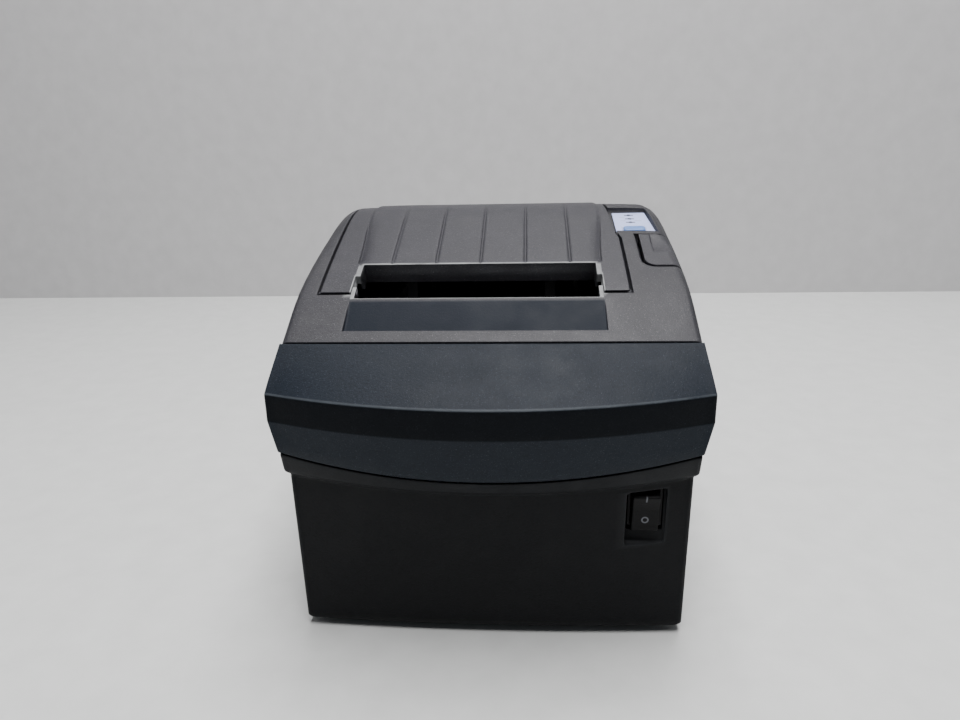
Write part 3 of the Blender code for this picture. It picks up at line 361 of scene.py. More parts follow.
def soft(name, colour, roughness, scale=700.0, spread=0.25, bump_mm=0.03):
    """A plain material with fine grain, cloudy tone and uneven gloss: rubber, nylon, laminate, ceramic."""
    material, tree, shader = new_material(name)
    coords = add(tree, "ShaderNodeTexCoord").outputs["Object"]
    fine = noise(tree, coords, scale, 3.0, 0.55)
    cloud = noise(tree, coords, 70.0, 4.0, 0.55)
    tone = blend_colour(tree, span(tree, cloud, 0.3, 0.7), tuple(c * (1 - spread) for c in colour),
                        tuple(min(c * (1 + spread), 1.0) for c in colour))
    tree.links.new(tone, shader.inputs["Base Color"])
    tree.links.new(span(tree, fine, 0.3, 0.7, roughness - 0.06, roughness + 0.08),
                   shader.inputs["Roughness"])
    bump = add(tree, "ShaderNodeBump", Strength=0.4, Distance=bump_mm * MM)
    tree.links.new(fine, bump.inputs["Height"])
    tree.links.new(bump.outputs["Normal"], shader.inputs["Normal"])
    return material


# colour of the painted highlight on the lips and rims of openings
EDGE_HIGHLIGHT = (0.36, 0.37, 0.37)
charcoal = moulded("housing_plastic", (0.021, 0.021, 0.0265), (0.17, 0.16, 0.17), 0.5, sparkle=0.8,
                   painted_highlight=EDGE_HIGHLIGHT, sheen=0.3)
case_plastic = moulded("case_plastic", (0.0055, 0.006, 0.007), (0.03, 0.03, 0.034), 0.55, sparkle=0.3,
                       dust=0.012, painted_highlight=(0.04, 0.042, 0.045), sheen=0.10)
black = moulded("inner_plastic", (0.004, 0.004, 0.0045), (0.02, 0.02, 0.02), 0.5, sparkle=0.2, dust=0.02,
                sheen=0.15)
rubber = soft("roller_rubber", (0.018, 0.018, 0.019), 0.75)
steel = metal("plated_steel", (0.56, 0.57, 0.58), 0.34, (1.0, 0.05, 1.0))
shaft_steel = metal("ground_steel", (0.60, 0.61, 0.62), 0.24, (0.05, 1.0, 1.0), 0.1)
can_metal = metal("motor_can", (0.36, 0.37, 0.38), 0.36, (0.08, 1.0, 1.0))
aluminium = metal("extruded_aluminium", (0.72, 0.73, 0.75), 0.36, (0.04, 1.0, 1.0))
brass = metal("turned_brass", (0.72, 0.52, 0.24), 0.3, (0.1, 1.0, 1.0))
nylon = soft("gear_nylon", (0.68, 0.66, 0.60), 0.45, spread=0.06)
laminate = soft("board_laminate", (0.020, 0.12, 0.05), 0.4, 1500.0, 0.2)
ceramic = soft("head_ceramic", (0.62, 0.60, 0.55), 0.25, spread=0.06)
label_film = soft("label_film", (0.44, 0.50, 0.78), 0.38, 1800.0, 0.04, 0.01)
lens_clear = soft("lens_plastic", (0.06, 0.07, 0.11), 0.2, spread=0.1)
button_blue = soft("button_blue", (0.10, 0.20, 0.46), 0.4, 1600.0, 0.08, 0.02)

FINISH = {
    "case_plastic": case_plastic, "charcoal_plastic": charcoal, "black_plastic": black,
    "rubber": rubber, "steel": steel, "motor_metal": can_metal, "aluminium": aluminium,
    "brass": brass, "gear_plastic": nylon, "board": laminate, "label_plastic": label_film,
    "lens": lens_clear, "feed_button_plastic": button_blue, "ceramic": ceramic}
for entry in frame["record"]["subparts"]:
    node = nodes[entry["node"]]
    finish_material = FINISH[entry["material_slot"]]
    for slot_index in range(len(node.material_slots)):
        node.material_slots[slot_index].material = finish_material
for name in ("platen_shaft", "cutter_shaft", "latch_shaft", "hinge_pin_left", "hinge_pin_right"):
    nodes[name].material_slots[0].material = shaft_steel


# ---- lid edge and openings, shared by the lid and the housing ----------------------------------
def lid_right(y):
    """The lid's right edge: straight beside the button, then stepped in and tapering."""
    return (LID_RIGHT - 0.3 * np.clip((y - LID_FRONT) / 38.0, 0.0, 1.0)
            - 1.0 * ease(y, LID_STEP_Y - 2.5, LID_STEP_Y + 1.0)
            - 2.3 * np.clip((y - LID_STEP_Y) / 39.0, 0.0, 1.0))


def rim_highlight(distance):
    """Painted highlight on the lip of an opening: full just outside the edge, none on the wall."""
    return ease(distance, -0.5, -0.25) * (1 - ease(distance, -0.05, 0.0))


def back_rows():
    """Stations round the roof's back arc, closer together where it turns down."""
    return BACK_ARC_Y + BACK_ARC_R * np.sin(np.radians(np.linspace(6, 88, 22)))


def tuck(z):
    """How far the housing's walls draw in towards their lower edge."""
    return 1.3 * (1 - np.clip((z - SHELL_BOTTOM) / 7.0, 0, 1)) ** 1.5


def housing_skin():
    """Housing: roof over x and y, round shoulders, straight sides drawn in below and a flat back.
    Each opening is cut as a wall with a rounded lip, as deep as drop() says for its distance."""
    lid_edges = lines(edge_lines(LID_LEFT - SIDE_GAP, 1), LID_LEFT + 0.6, LID_LEFT + 1.6)
    rim_left = lines(edge_lines(TONGUES[0], -1), edge_lines(SLOT_LEFT, 1), edge_lines(TRAY[0], 1))
    rim_right = lines(edge_lines(TONGUES[1], 1), edge_lines(SLOT_RIGHT, -1), edge_lines(TRAY[1], -1))
    right_gap = lines(edge_lines(LID_RIGHT + SIDE_GAP, -1), LID_RIGHT - 0.6, LID_RIGHT - 1.6)
    hole_left = BUTTON[0] - 1.5
    xs = lines([-66.6, -65, -63.8], lid_edges, run(-60, -52.2, 5), rim_left, run(-47, 36, 24), rim_right,
               run(42, 47, 3), right_gap, run(52.5, 55.0, 3), edge_lines(hole_left, 1),
               hole_left + np.array([0.5, 1.2, 2.2, 3.5]), edge_lines(PANEL_RIGHT, -1),
               [61.5, 63.5, 65.0, 66.5])
    xs = xs[np.abs(xs) <= TURN_X]
    hole_front, hole_back = BUTTON[1] - FRONT_GAP, BUTTON[2] + 0.6
    ys = lines([SEAM_Y, SEAM_Y + 0.12, SEAM_Y + 0.3], run(-65.5, -62.5, 3), edge_lines(TRAY[2], 1),
               run(-60, -48.6, 8), edge_lines(TRAY[3], -1), edge_lines(SLOT_FRONT, 1),
               edge_lines(LID_FRONT - FRONT_GAP, 1), edge_lines(NOTCH_FRONT, 1), [-42.2, -39.6, -38.5],
               run(-36, -31, 5), edge_lines(hole_front, 1), hole_front + np.array([0.5, 1.2, 2.2, 3.5, 5.4]),
               run(-20, -8, 6), edge_lines(hole_back, -1), edge_lines(PANEL_FRONT, 1),
               run(0, 21, 9), edge_lines(PANEL_BACK, -1), run(24, 73, 22), back_rows(), [BACK_Y])
    bottom = SHELL_BOTTOM
    radius = shoulder_radius(ys)
    half = half_width(ys)
    edge_x = half - radius
    turn_start = np.arccos(np.clip((TURN_X - edge_x) / radius, 0.0, 1.0))
    turns = turn_start[:, None] * np.array([0.95, 0.86, 0.75, 0.63, 0.5, 0.38, 0.25, 0.12, 0.0])
    side = np.array([1.0, 0.9, 0.8, 0.735, 0.727, 0.72, 0.6, 0.45, 0.3, 0.2, 0.12, 0.06, 0.0])
    grid_y = np.repeat(ys[:, None], len(xs), 1)
    grid_x = np.repeat(xs[None, :], len(ys), 0)
    shift = (lid_right(grid_y) - LID_RIGHT) * np.interp(grid_x, [41, 47, 53, 57], [0, 1, 1, 0])
    shift -= (PANEL_TAPER * np.clip(grid_y - PANEL_FRONT, 0, PANEL_BACK - PANEL_FRONT)
              * np.interp(grid_x, [60, 64.5, 66.5, TURN_X], [0, 1, 1, 0]))
    warp_x, warp_y = soften(grid_x, grid_y, hole_left, hole_front, BUTTON_CORNER + 1.4, 1, 1)
    warp_x = warp_x + shift
    top = np.stack([warp_x, warp_y, surface(warp_x, warp_y)], -1)
    normal = roof_normal(warp_x, warp_y)
    # openings in the roof
    lid_hole = np.minimum(within(grid_x, LID_LEFT - SIDE_GAP, LID_RIGHT + SIDE_GAP),
                          grid_y - (LID_FRONT - FRONT_GAP))
    slot = np.minimum(within(grid_x, SLOT_LEFT, SLOT_RIGHT), grid_y - SLOT_FRONT)
    tongue = np.maximum(within(grid_x, TONGUES[0], SLOT_LEFT), within(grid_x, SLOT_RIGHT, TONGUES[1]))
    tongue = np.minimum(tongue, NOTCH_FRONT - grid_y)
    hole = np.minimum(np.maximum(lid_hole, slot), -tongue)
    tray = np.minimum(within(grid_x, TRAY[0], TRAY[1]), within(grid_y, TRAY[2], TRAY[3]))
    tray_floor = 116.35 + (warp_y + 47.3) * 0.6507
    tray_depth = (top[..., 2] - tray_floor) * 0.86
    button_hole = np.minimum(np.minimum(grid_x - hole_left, within(grid_y, hole_front, hole_back)),
                             SHELL_HALF + 20 - grid_x)
    panel = np.minimum(PANEL_RIGHT - grid_x, within(grid_y, PANEL_FRONT, PANEL_BACK))
    panel = np.minimum(panel, grid_x - 40.0)
    panel_floor = PANEL_Z + PANEL_SLOPE * (warp_y - PANEL_Y) - 0.1
    sink = np.zeros_like(grid_x)
    sink = np.maximum(sink, drop(tray, tray_depth))
    sink = np.maximum(sink, drop(hole, 4.2))
    sink = np.maximum(sink, drop(button_hole, 5.0))
    panel_sink = drop(panel, np.maximum(top[..., 2] - panel_floor, 0.0))
    top = top - normal * np.where(panel_sink > sink, 0.0, sink)[..., None]
    top[..., 2] -= np.where(panel_sink > sink, panel_sink, 0.0)
    # cells past an opening's rounded lip are left out, except on the rim's tongues
    kept = ~((np.maximum(lid_hole - 1.7, slot) > 0.2) & (tongue < -0.2))
    kept &= ~(button_hole > 2.4)
    # painted highlight along the front lips of the openings and on the rim's tongues beside the slot
    edges = rim_highlight(hole) * (np.abs(grid_x + 5.3) < 47.2) * (grid_y < -39)
    edges = np.maximum(edges, 0.75 * ease(tongue, 0.0, 0.3) * (grid_y > SLOT_FRONT - 0.4))
    # painted shade: the tray gets a darker, bluer colour laid over the housing's own
    tray_painted_shade = ease(tray, -0.1, 0.1) * (grid_y < TRAY[3] - 0.2)

    def shoulder(sign):
        """Quarter rounds from the roof down to the sides, then the sides themselves."""
        x = sign * (edge_x[:, None] + radius[:, None] * np.cos(turns))
        at = roof(edge_x, ys)
        z = at[:, None] - radius[:, None] + radius[:, None] * np.sin(turns)
        round_part = np.stack([x, np.repeat(ys[:, None], turns.shape[1], 1), z], -1)
        start = z[:, -1]
        level = np.minimum(BUTTON[3] - 0.5, bottom + 0.83 * (start - bottom))
        knots = np.array([0.0, 0.727, 1.0])
        share = np.stack([np.interp(side, knots, [b, l, s]) for b, l, s in
                          zip(np.full(len(ys), bottom), level, start)])
        x = sign * (half[:, None] - tuck(share))
        flat = np.stack([x, np.repeat(ys[:, None], len(side), 1), share], -1)
        block = np.concatenate([round_part, flat[:, 1:]], 1)
        return block

    right = shoulder(1)
    left = shoulder(-1)
    # the button's hole runs over the right shoulder and down the side
    rows = np.repeat(ys[:, None], right.shape[1], 1)
    below = np.concatenate([np.full(9, 9.0), (side[1:] - 0.7235) * 40.0])
    hole_right = np.minimum(within(rows, hole_front, hole_back), below[None, :])
    depth = drop(hole_right, 4.0)
    angle = np.concatenate([turns, np.zeros((len(ys), len(side) - 1))], 1)
    right[..., 0] -= np.cos(angle) * depth
    right[..., 2] -= np.sin(angle) * depth
    kept_right = ~(hole_right > 2.4)
    kept_left = np.ones(left.shape[:2], bool)
    points = np.concatenate([left[:, ::-1], top, right], 1)
    mask = np.concatenate([kept_left[:, ::-1], kept, kept_right], 1)
    painted_highlight = np.concatenate([np.zeros(left.shape[:2]), edges, np.zeros(right.shape[:2])], 1)
    rows_n, cols_n = mask.shape
    faces = grid_faces(rows_n, cols_n, inner(mask))
    # flat back below the last station, between the two shoulders
    last = points[-1]
    arch = last[len(side) - 1: cols_n - (len(side) - 1)].copy()
    lid_span = (arch[:, 0] > LID_LEFT - 0.7) & (arch[:, 0] < lid_right(BACK_Y) + 0.7)
    crown = roof(arch[:, 0], np.full(len(arch), BACK_Y))
    arch[:, 2] = np.where(np.abs(arch[:, 0]) < edge_x[-1], crown, arch[:, 2])
    arch[:, 1] = BACK_Y
    wall_top = np.where(lid_span, np.minimum(arch[:, 2], 105.6), arch[:, 2])
    start = points[-1, -len(side):, 2]
    share = (start - bottom) / (start[0] - bottom)
    wall = np.stack([np.repeat(arch[None, :, 0], len(share), 0), np.full((len(share), len(arch)), BACK_Y),
                     bottom + (wall_top[None, :] - bottom) * share[:, None]], -1)
    low = tuck(wall[..., 2])
    wall[..., 1] -= low
    end = np.abs(wall[..., 0]) > half[-1] - 0.01
    wall[..., 0] = np.where(end, np.sign(wall[..., 0]) * (half[-1] - low), wall[..., 0])
    wall[..., 1] = np.where(end, BACK_Y, wall[..., 1])
    wall_faces = grid_faces(len(share), len(arch), start=rows_n * cols_n)
    all_points = np.concatenate([points.reshape(-1, 3), wall.reshape(-1, 3)])
    # the tray's painted shade, handed to the material's overlay attribute
    painted_tray_shade = np.concatenate([np.zeros(left.shape[:2]), tray_painted_shade, np.zeros(right.shape[:2])], 1)
    rest = np.zeros(wall.shape[0] * wall.shape[1])
    obj = mesh_from("housing_skin", all_points, np.concatenate([faces, wall_faces]), charcoal_shaded_tray,
                    {"edge": np.concatenate([painted_highlight.ravel(), rest]),
                     "ink_and_painted_shade": np.concatenate([painted_tray_shade.ravel(), rest])})
    weld(obj)
    thicken(obj, 1.6)
    return place(obj, "case", "charcoal_plastic", "upper_housing")


def middle_right(y):
    """Right edge of the lid's ribbed middle: it leaves the slot's notch and spreads to the crest."""
    return 41.4 + 2.8 * ease(y, -26, 24)


def middle_left(y):
    """Left edge of the ribbed middle, the same spread on the other side."""
    return -52.1 - 2.8 * ease(y, -26, 24)


def lid_lift(x, y):
    """How the ribbed middle stands to the roof: level at the slot, proud at the crest, with a
    valley along each side strip and five grooves that fade towards the crest."""
    left, right = middle_left(y), middle_right(y)
    reach = np.minimum(x - left, right - x)
    lift = 0.62 * ease(y, -12, 22) * (1 - ease(y, 38, 62)) * ease(reach, 0.0, 2.0)
    valley = -1.5 * np.clip(1 - reach / 5.5, 0, 1) ** 2 * (1 - ease(y, -6, 16)) * ease(y, -25.7, -23.5)
    middle = lift + valley * ease(reach, 0.0, 0.45)
    groove = np.zeros_like(x)
    for at in GROOVES:
        groove -= (0.6 * (1 - ease(np.abs(x - at), 0.28, 0.55)) * (1 - ease(y, 4, 34))
                   * ease(y, -25.6, -24.6))
    return np.where(reach > 0, middle + groove * (reach > 1), 0.0)


def lid_skin():
    """Lid: the roof with its ribs, from the slot over the crest, down the back arc and round the
    hinge barrel; both sides and the front drop as a skirt."""
    strip = [run(-61.6, -55.6, 5), run(-55.4, -51.6, 20), run(-51.2, -46.0, 9)]
    beside_groove = np.array([-1.4, -0.6, -0.45, -0.32, -0.15, 0, 0.15, 0.32, 0.45, 0.6, 1.4])
    ribs = [at + beside_groove for at in GROOVES]
    xs = lines(edge_lines(LID_LEFT, -1)[:-1], LID_LEFT + 0.02, *strip, *ribs, run(35.3, 40.5, 9),
               run(40.9, 44.7, 20),
               run(45.0, LID_RIGHT - 0.7, 5),
               edge_lines(LID_RIGHT, 1)[:-1], edge_lines(SLOT_LEFT - NOTCH_STEP, 1),
               edge_lines(SLOT_LEFT, 1), edge_lines(SLOT_RIGHT, -1),
               edge_lines(SLOT_RIGHT + NOTCH_STEP, -1), run(-40, 32, 19))
    xs = xs[(xs >= LID_LEFT - 1e-6) & (xs <= LID_RIGHT + 1e-6)]
    ys = lines(edge_lines(LID_FRONT, -1)[:-1], run(-42, -35, 6), edge_lines(NOTCH_BACK, -1),
               run(-32, -27.5, 4),
               edge_lines(SLOT_BACK, -1), run(-25, 5, 22), run(6, 45, 26), run(47, 73, 14), back_rows())
    ys = ys[(ys >= LID_FRONT - 1e-6) & (ys < BACK_Y)]
    ys = ys[crest(ys) > HINGE_Z + 0.6]
    grid_y = np.repeat(ys[:, None], len(xs), 1)
    squeeze = np.clip((xs - 43.0) / (LID_RIGHT - 43.0), 0, 1)
    grid_x = xs[None, :] + squeeze[None, :] * (lid_right(ys) - LID_RIGHT)[:, None]
    # the roof with its ribs, then the openings and the rolled outer edge sunk into it
    top = np.stack([grid_x, grid_y, roof(grid_x, grid_y) + lid_lift(grid_x, grid_y)], -1)
    normal = roof_normal(grid_x, grid_y)
    flat_x = np.repeat(xs[None, :], len(ys), 0)
    slot = np.minimum(within(flat_x, SLOT_LEFT, SLOT_RIGHT), SLOT_BACK - grid_y)
    notch = np.minimum(within(flat_x, SLOT_LEFT - NOTCH_STEP, SLOT_RIGHT + NOTCH_STEP),
                       NOTCH_BACK - grid_y)
    hole = np.maximum(slot, notch)
    outer = np.minimum(within(flat_x, LID_LEFT, LID_RIGHT), grid_y - LID_FRONT)
    sink = np.maximum(drop(hole, np.where(grid_y > -31.0, 8.0, 3.4)), drop(-outer, EDGE))
    kept = ~(hole > 0.2)
    # painted highlight on the slot's lip and on the narrow strips beside the slot's ends
    painted_highlight = rim_highlight(hole) * (grid_x > -52) * (grid_x < 41.5)
    beside = np.maximum(within(grid_x, -51.5, -49.4), within(grid_x, 38.7, 40.8))
    painted_highlight = np.maximum(painted_highlight, 0.7 * ease(np.minimum(beside, SLOT_BACK - grid_y), 0.0, 0.3))
    top = top - normal * sink[..., None]
    # skirt columns left and right, skirt rows in front
    down = np.array([0.35, 1.2, 2.4, 3.4])
    edge_l = top[:, :1] - normal[:, :1] * down[None, :, None]
    edge_r = top[:, -1:] - normal[:, -1:] * down[None, :, None]
    points = np.concatenate([edge_l[:, ::-1], top, edge_r], 1)
    mask = np.concatenate([np.ones(edge_l.shape[:2], bool), kept, np.ones(edge_r.shape[:2], bool)], 1)
    painted_highlight = np.concatenate([np.zeros(edge_l.shape[:2]), painted_highlight, np.zeros(edge_r.shape[:2])], 1)
    front = points[:1].repeat(len(down), 0) - np.array([0, -0.42, 0.9]) * down[::-1, None, None]
    points = np.concatenate([front, points])
    mask = np.concatenate([mask[:1].repeat(len(down), 0), mask])
    painted_highlight = np.concatenate([painted_highlight[:1].repeat(len(down), 0), painted_highlight])
    # barrel: the last station carries on round the hinge line
    turn = np.radians(np.linspace(8, -180, 16))
    last = points[-1]
    depth = np.concatenate([down[::-1], np.zeros(len(xs)), down])
    reach = BARREL_R - np.minimum(depth, 2.0)
    barrel = np.stack([np.repeat(last[None, :, 0], len(turn), 0),
                       HINGE_Y + np.cos(turn)[:, None] * reach[None, :],
                       HINGE_Z + np.sin(turn)[:, None] * reach[None, :]], -1)
    points = np.concatenate([points, barrel])
    mask = np.concatenate([mask, np.ones(barrel.shape[:2], bool)])
    painted_highlight = np.concatenate([painted_highlight, np.zeros(barrel.shape[:2])])
    faces = grid_faces(*mask.shape, inner(mask))
    obj = mesh_from("lid_skin", points.reshape(-1, 3), faces, charcoal, {"edge": painted_highlight.ravel()})
    weld(obj)
    thicken(obj, 1.2)
    return place(obj, "lid", "charcoal_plastic", "roll_cover")


# ---- bowed casings -------------------------------------------------------------------------
def belt_dip(x):
    """The belt line sinks towards the middle of the front, as a parabola."""
    return 5.7 * (1.0 - np.minimum(np.abs(x) / 69.0, 1.0) ** 2)


def bowed_grid(levels, front_x, back_y_is_open):
    """Rings round a bowed box: at each level the front bows forward as a parabola between small
    round corners; levels hold half width, side y, bow depth, back y, height, dip share, corner."""
    rings = []
    turns = np.radians(np.linspace(-84, -6, 6))
    for half, side_y, depth, back_y, height, dip, corner in levels:
        reach = half - corner
        x = np.where(np.abs(front_x) > 62, np.sign(front_x)
                     * (62 + (np.abs(front_x) - 62) * (reach - 62) / 4.3), front_x)
        y = side_y - depth * (1 - (x / half) ** 2)
        z = height - dip * belt_dip(x)
        end_y, end_z = y[-1], height - dip * belt_dip(np.array(reach))
        cx, cy = reach, end_y + corner
        corner_r = np.stack([cx + corner * np.cos(turns), cy + corner * np.sin(turns),
                             np.full(6, end_z)], -1)
        sides = run(end_y + corner, back_y - (0 if back_y_is_open else corner), 12)
        right = np.stack([np.full(12, half), sides, np.full(12, height)], -1)
        front = np.stack([x, y, z], -1)
        parts = [front, corner_r, right]
        mirror = np.array([-1, 1, 1])
        if back_y_is_open:
            parts = [right[::-1] * mirror, corner_r[::-1] * mirror] + parts
        else:
            back_turn = np.radians(np.linspace(6, 84, 6))
            back_corner = np.stack([reach + corner * np.cos(back_turn),
                                    back_y - corner + corner * np.sin(back_turn), np.full(6, height)], -1)
            back_x = lines(run(66.2, 32, 8), edge_lines(WINDOW[1], -1), run(28, -50, 14),
                           edge_lines(WINDOW[0], 1), run(-54, -66.2, 4))[::-1]
            back = np.stack([back_x * reach / 66.2, np.full(len(back_x), back_y),
                             np.full(len(back_x), height)], -1)
            mirrored = [part[::-1] * mirror for part in (back_corner, right, corner_r)]
            parts += [back_corner, back] + mirrored
        rings.append(np.concatenate(parts))
    return np.stack(rings)


def case_skin():
    """Lower case: bowed rings from the foot line to the belt, with a switch recess pressed into the
    front and a window left out of the back."""
    left, right, low, high = RECESS
    front_x = lines(run(-66.3, 42, 74), edge_lines(left, 1), edge_lines(left + 0.8, 1),
                    run(left + 1.6, right - 1.6, 14),
                    edge_lines(right - 0.8, -1), edge_lines(right, -1), run(60.4, 66.3, 5))
    zs = lines([3.0, 3.3, 3.8, 4.4], run(6, 38, 14), edge_lines(low, 1), [40.3, 41.3, 43.5],
               edge_lines(low + 4.4, 1, 0.2), run(47, 58, 8), edge_lines(high - 0.8, -1, 0.2),
               edge_lines(high, -1), [61.6, 62.2, 62.8],
               edge_lines(WINDOW[2], 1), edge_lines(WINDOW[3], -1))
    levels = []
    for z in zs:
        foot = max(0.0, 1.0 - (z - 3.0) / 1.2)
        depth = float(np.interp(z, [3, 4.2, 36, 63.5], [2.0, 2.3, 8.0, 13.0]))
        side_y = float(np.interp(z, [3, 4.2, 36, 63.5], [-78.6, -79.6, -79.8, -80.0]))
        levels.append((68.3 - foot, side_y, depth, 95.4 - foot, z, 0.0, 2.0))
    flat_count = len(levels)
    for step, out, deep, rise, dip in ((0.10, 0.10, 12.9, 63.8, 0.105), (0.5, 0.7, 12.3, 64.6, 0.175),
                                       (0.85, 1.1, 11.6, 65.4, 0.246), (0.97, 1.2, 11.2, 66.0, 0.28)):
        levels.append((68.3 + out, -80.0 - 2.6 * step, deep, 95.4 + 0.9 * step, rise, dip, 2.0))
    for share in (0.25, 0.5, 0.75, 0.94):
        levels.append((69.5, -82.6 - 2.0 * share, 11.2 - 2.0 * share, 96.4, 66.0 + 6.9 * share,
                       0.28 + 0.72 * share, 2.0))
    for inset, z in ((0.08, 72.95), (0.3, 73.1)):
        levels.append((69.5 - inset, -84.6 + inset, 9.2, 96.4 - inset, z, 1.0, 2.0))
    points = bowed_grid(levels, front_x, False)
    rows, cols = points.shape[:2]
    n = len(front_x)
    # switch recess: the skin sinks to a flat floor
    u = np.repeat(front_x[None, :], rows, 0)
    v = np.concatenate([zs, np.full(rows - flat_count, 90.0)])[:, None] * np.ones((1, n))
    distance = np.minimum(within(u, left, right), within(v, low, high))
    x, z = points[:, :n, 0], points[:, :n, 2]
    for cx, sx in ((left, 1), (right, -1)):
        for cz, sz in ((low, 1), (high, -1)):
            x, z = soften(x, z, cx, cz, 1.3, sx, sz)
    points[:, :n, 0], points[:, :n, 2] = x, z
    floor = -81.4 - points[:, :n, 1]
    points[:, :n, 1] += drop(distance, np.maximum(floor, 0.0))
    window = np.minimum(within(u, left + 0.8, right - 0.8), within(v, low + 4.4, high - 0.8))
    kept = np.ones((rows, cols), bool)
    kept[:, :n] = ~(window > 0.03)
    back_mask = (np.abs(points[..., 1] - 95.4) < 0.2) & (np.abs(points[..., 0]) < 60)
    behind = np.minimum(within(points[..., 0], *WINDOW[:2]), within(points[..., 2], *WINDOW[2:]))
    kept &= ~(back_mask & (behind > 0.1))
    quads = np.concatenate([kept, kept[:, :1]], 1)
    # painted highlight on the belt's rings and on the lip round the switch recess
    edge = np.zeros((rows, cols))
    edge[-7:-1] = 0.35
    edge[:, :n] = np.maximum(edge[:, :n], np.clip(1 - np.abs(distance + 0.1) / 0.4, 0, 1) * 0.6)
    faces = grid_faces(rows, cols, inner(quads), wrap=True)
    obj = mesh_from("case_skin", points.reshape(-1, 3), faces, case_plastic, {"edge": edge.ravel()})
    thicken(obj, 1.8)
    return place(obj, "case", "case_plastic", "lower_case")


def cover_skin():
    """Front cover: bowed rings from the belt line over the chamfer, the band and the sloping top
    to the seam, each fold rounded by close rings."""
    front_x = run(-66.3, 66.3, 90)
    low, fold, brow, seam = ((69.95, -84.9, 9.3, 74.05, 0.98), (72.42, -84.05, 13.3, 84.4, 0.12),
                             (72.42, -83.3, 13.75, 94.25, 0.0), (71.2, -67.6, 0.6, 105.85, 0.0))

    def straight(first, last, shares):
        """Rings spaced along a straight fall between two levels."""
        return [tuple(f + (l - f) * share for f, l in zip(first, last)) for share in shares]

    profile = [(67.3, -82.4, 9.2, 73.25, 1.0), (69.2, -84.3, 9.2, 73.72, 1.0), (69.75, -84.8, 9.2, 73.8, 1.0)]
    profile += straight(low, fold, (0.0, 0.33, 0.66, 0.97, 1.0))
    profile += [(72.5, -83.95, 13.5, 84.8, 0.09), (72.5, -83.85, 13.6, 86.5, 0.05),
                (72.5, -83.7, 13.8, 92.0, 0.0), (72.5, -83.65, 13.85, 93.6, 0.0),
                (72.48, -83.55, 13.85, 93.95, 0.0)]
    profile += straight(brow, seam, (0.0, 0.02, 0.25, 0.5, 0.75, 0.98, 1.0))
    profile += [(71.1, -67.3, 0.4, 105.9, 0.0)]
    levels = [(half, side_y, depth, SEAM_Y - 0.45, z, dip, 1.2 if z < 96 else 0.25)
              for half, side_y, depth, z, dip in profile]
    points = bowed_grid(levels, front_x, True)
    rows, cols = points.shape[:2]
    # rings of the profile: the chamfer, then the band, then the brow above it; the chamfer gets a faint
    # painted reflection of the table, the brow a painted highlight, the band painted shade
    painted_highlight, band = np.zeros((rows, cols)), np.zeros((rows, cols))
    chamfer_rings, band_rings, brow_rings = slice(3, 8), slice(8, 12), slice(12, 14)
    painted_highlight[chamfer_rings] = 0.10
    painted_highlight[brow_rings, 14:-14] = 0.7
    band[band_rings] = 1.0
    obj = mesh_from("front_cover_skin", points.reshape(-1, 3), grid_faces(rows, cols), charcoal_shaded_front,
                    {"edge": painted_highlight.ravel(), "ink_and_painted_shade": band.ravel()})
    thicken(obj, 1.8)
    return place(obj, "front_cover", "charcoal_plastic", "front_cover")


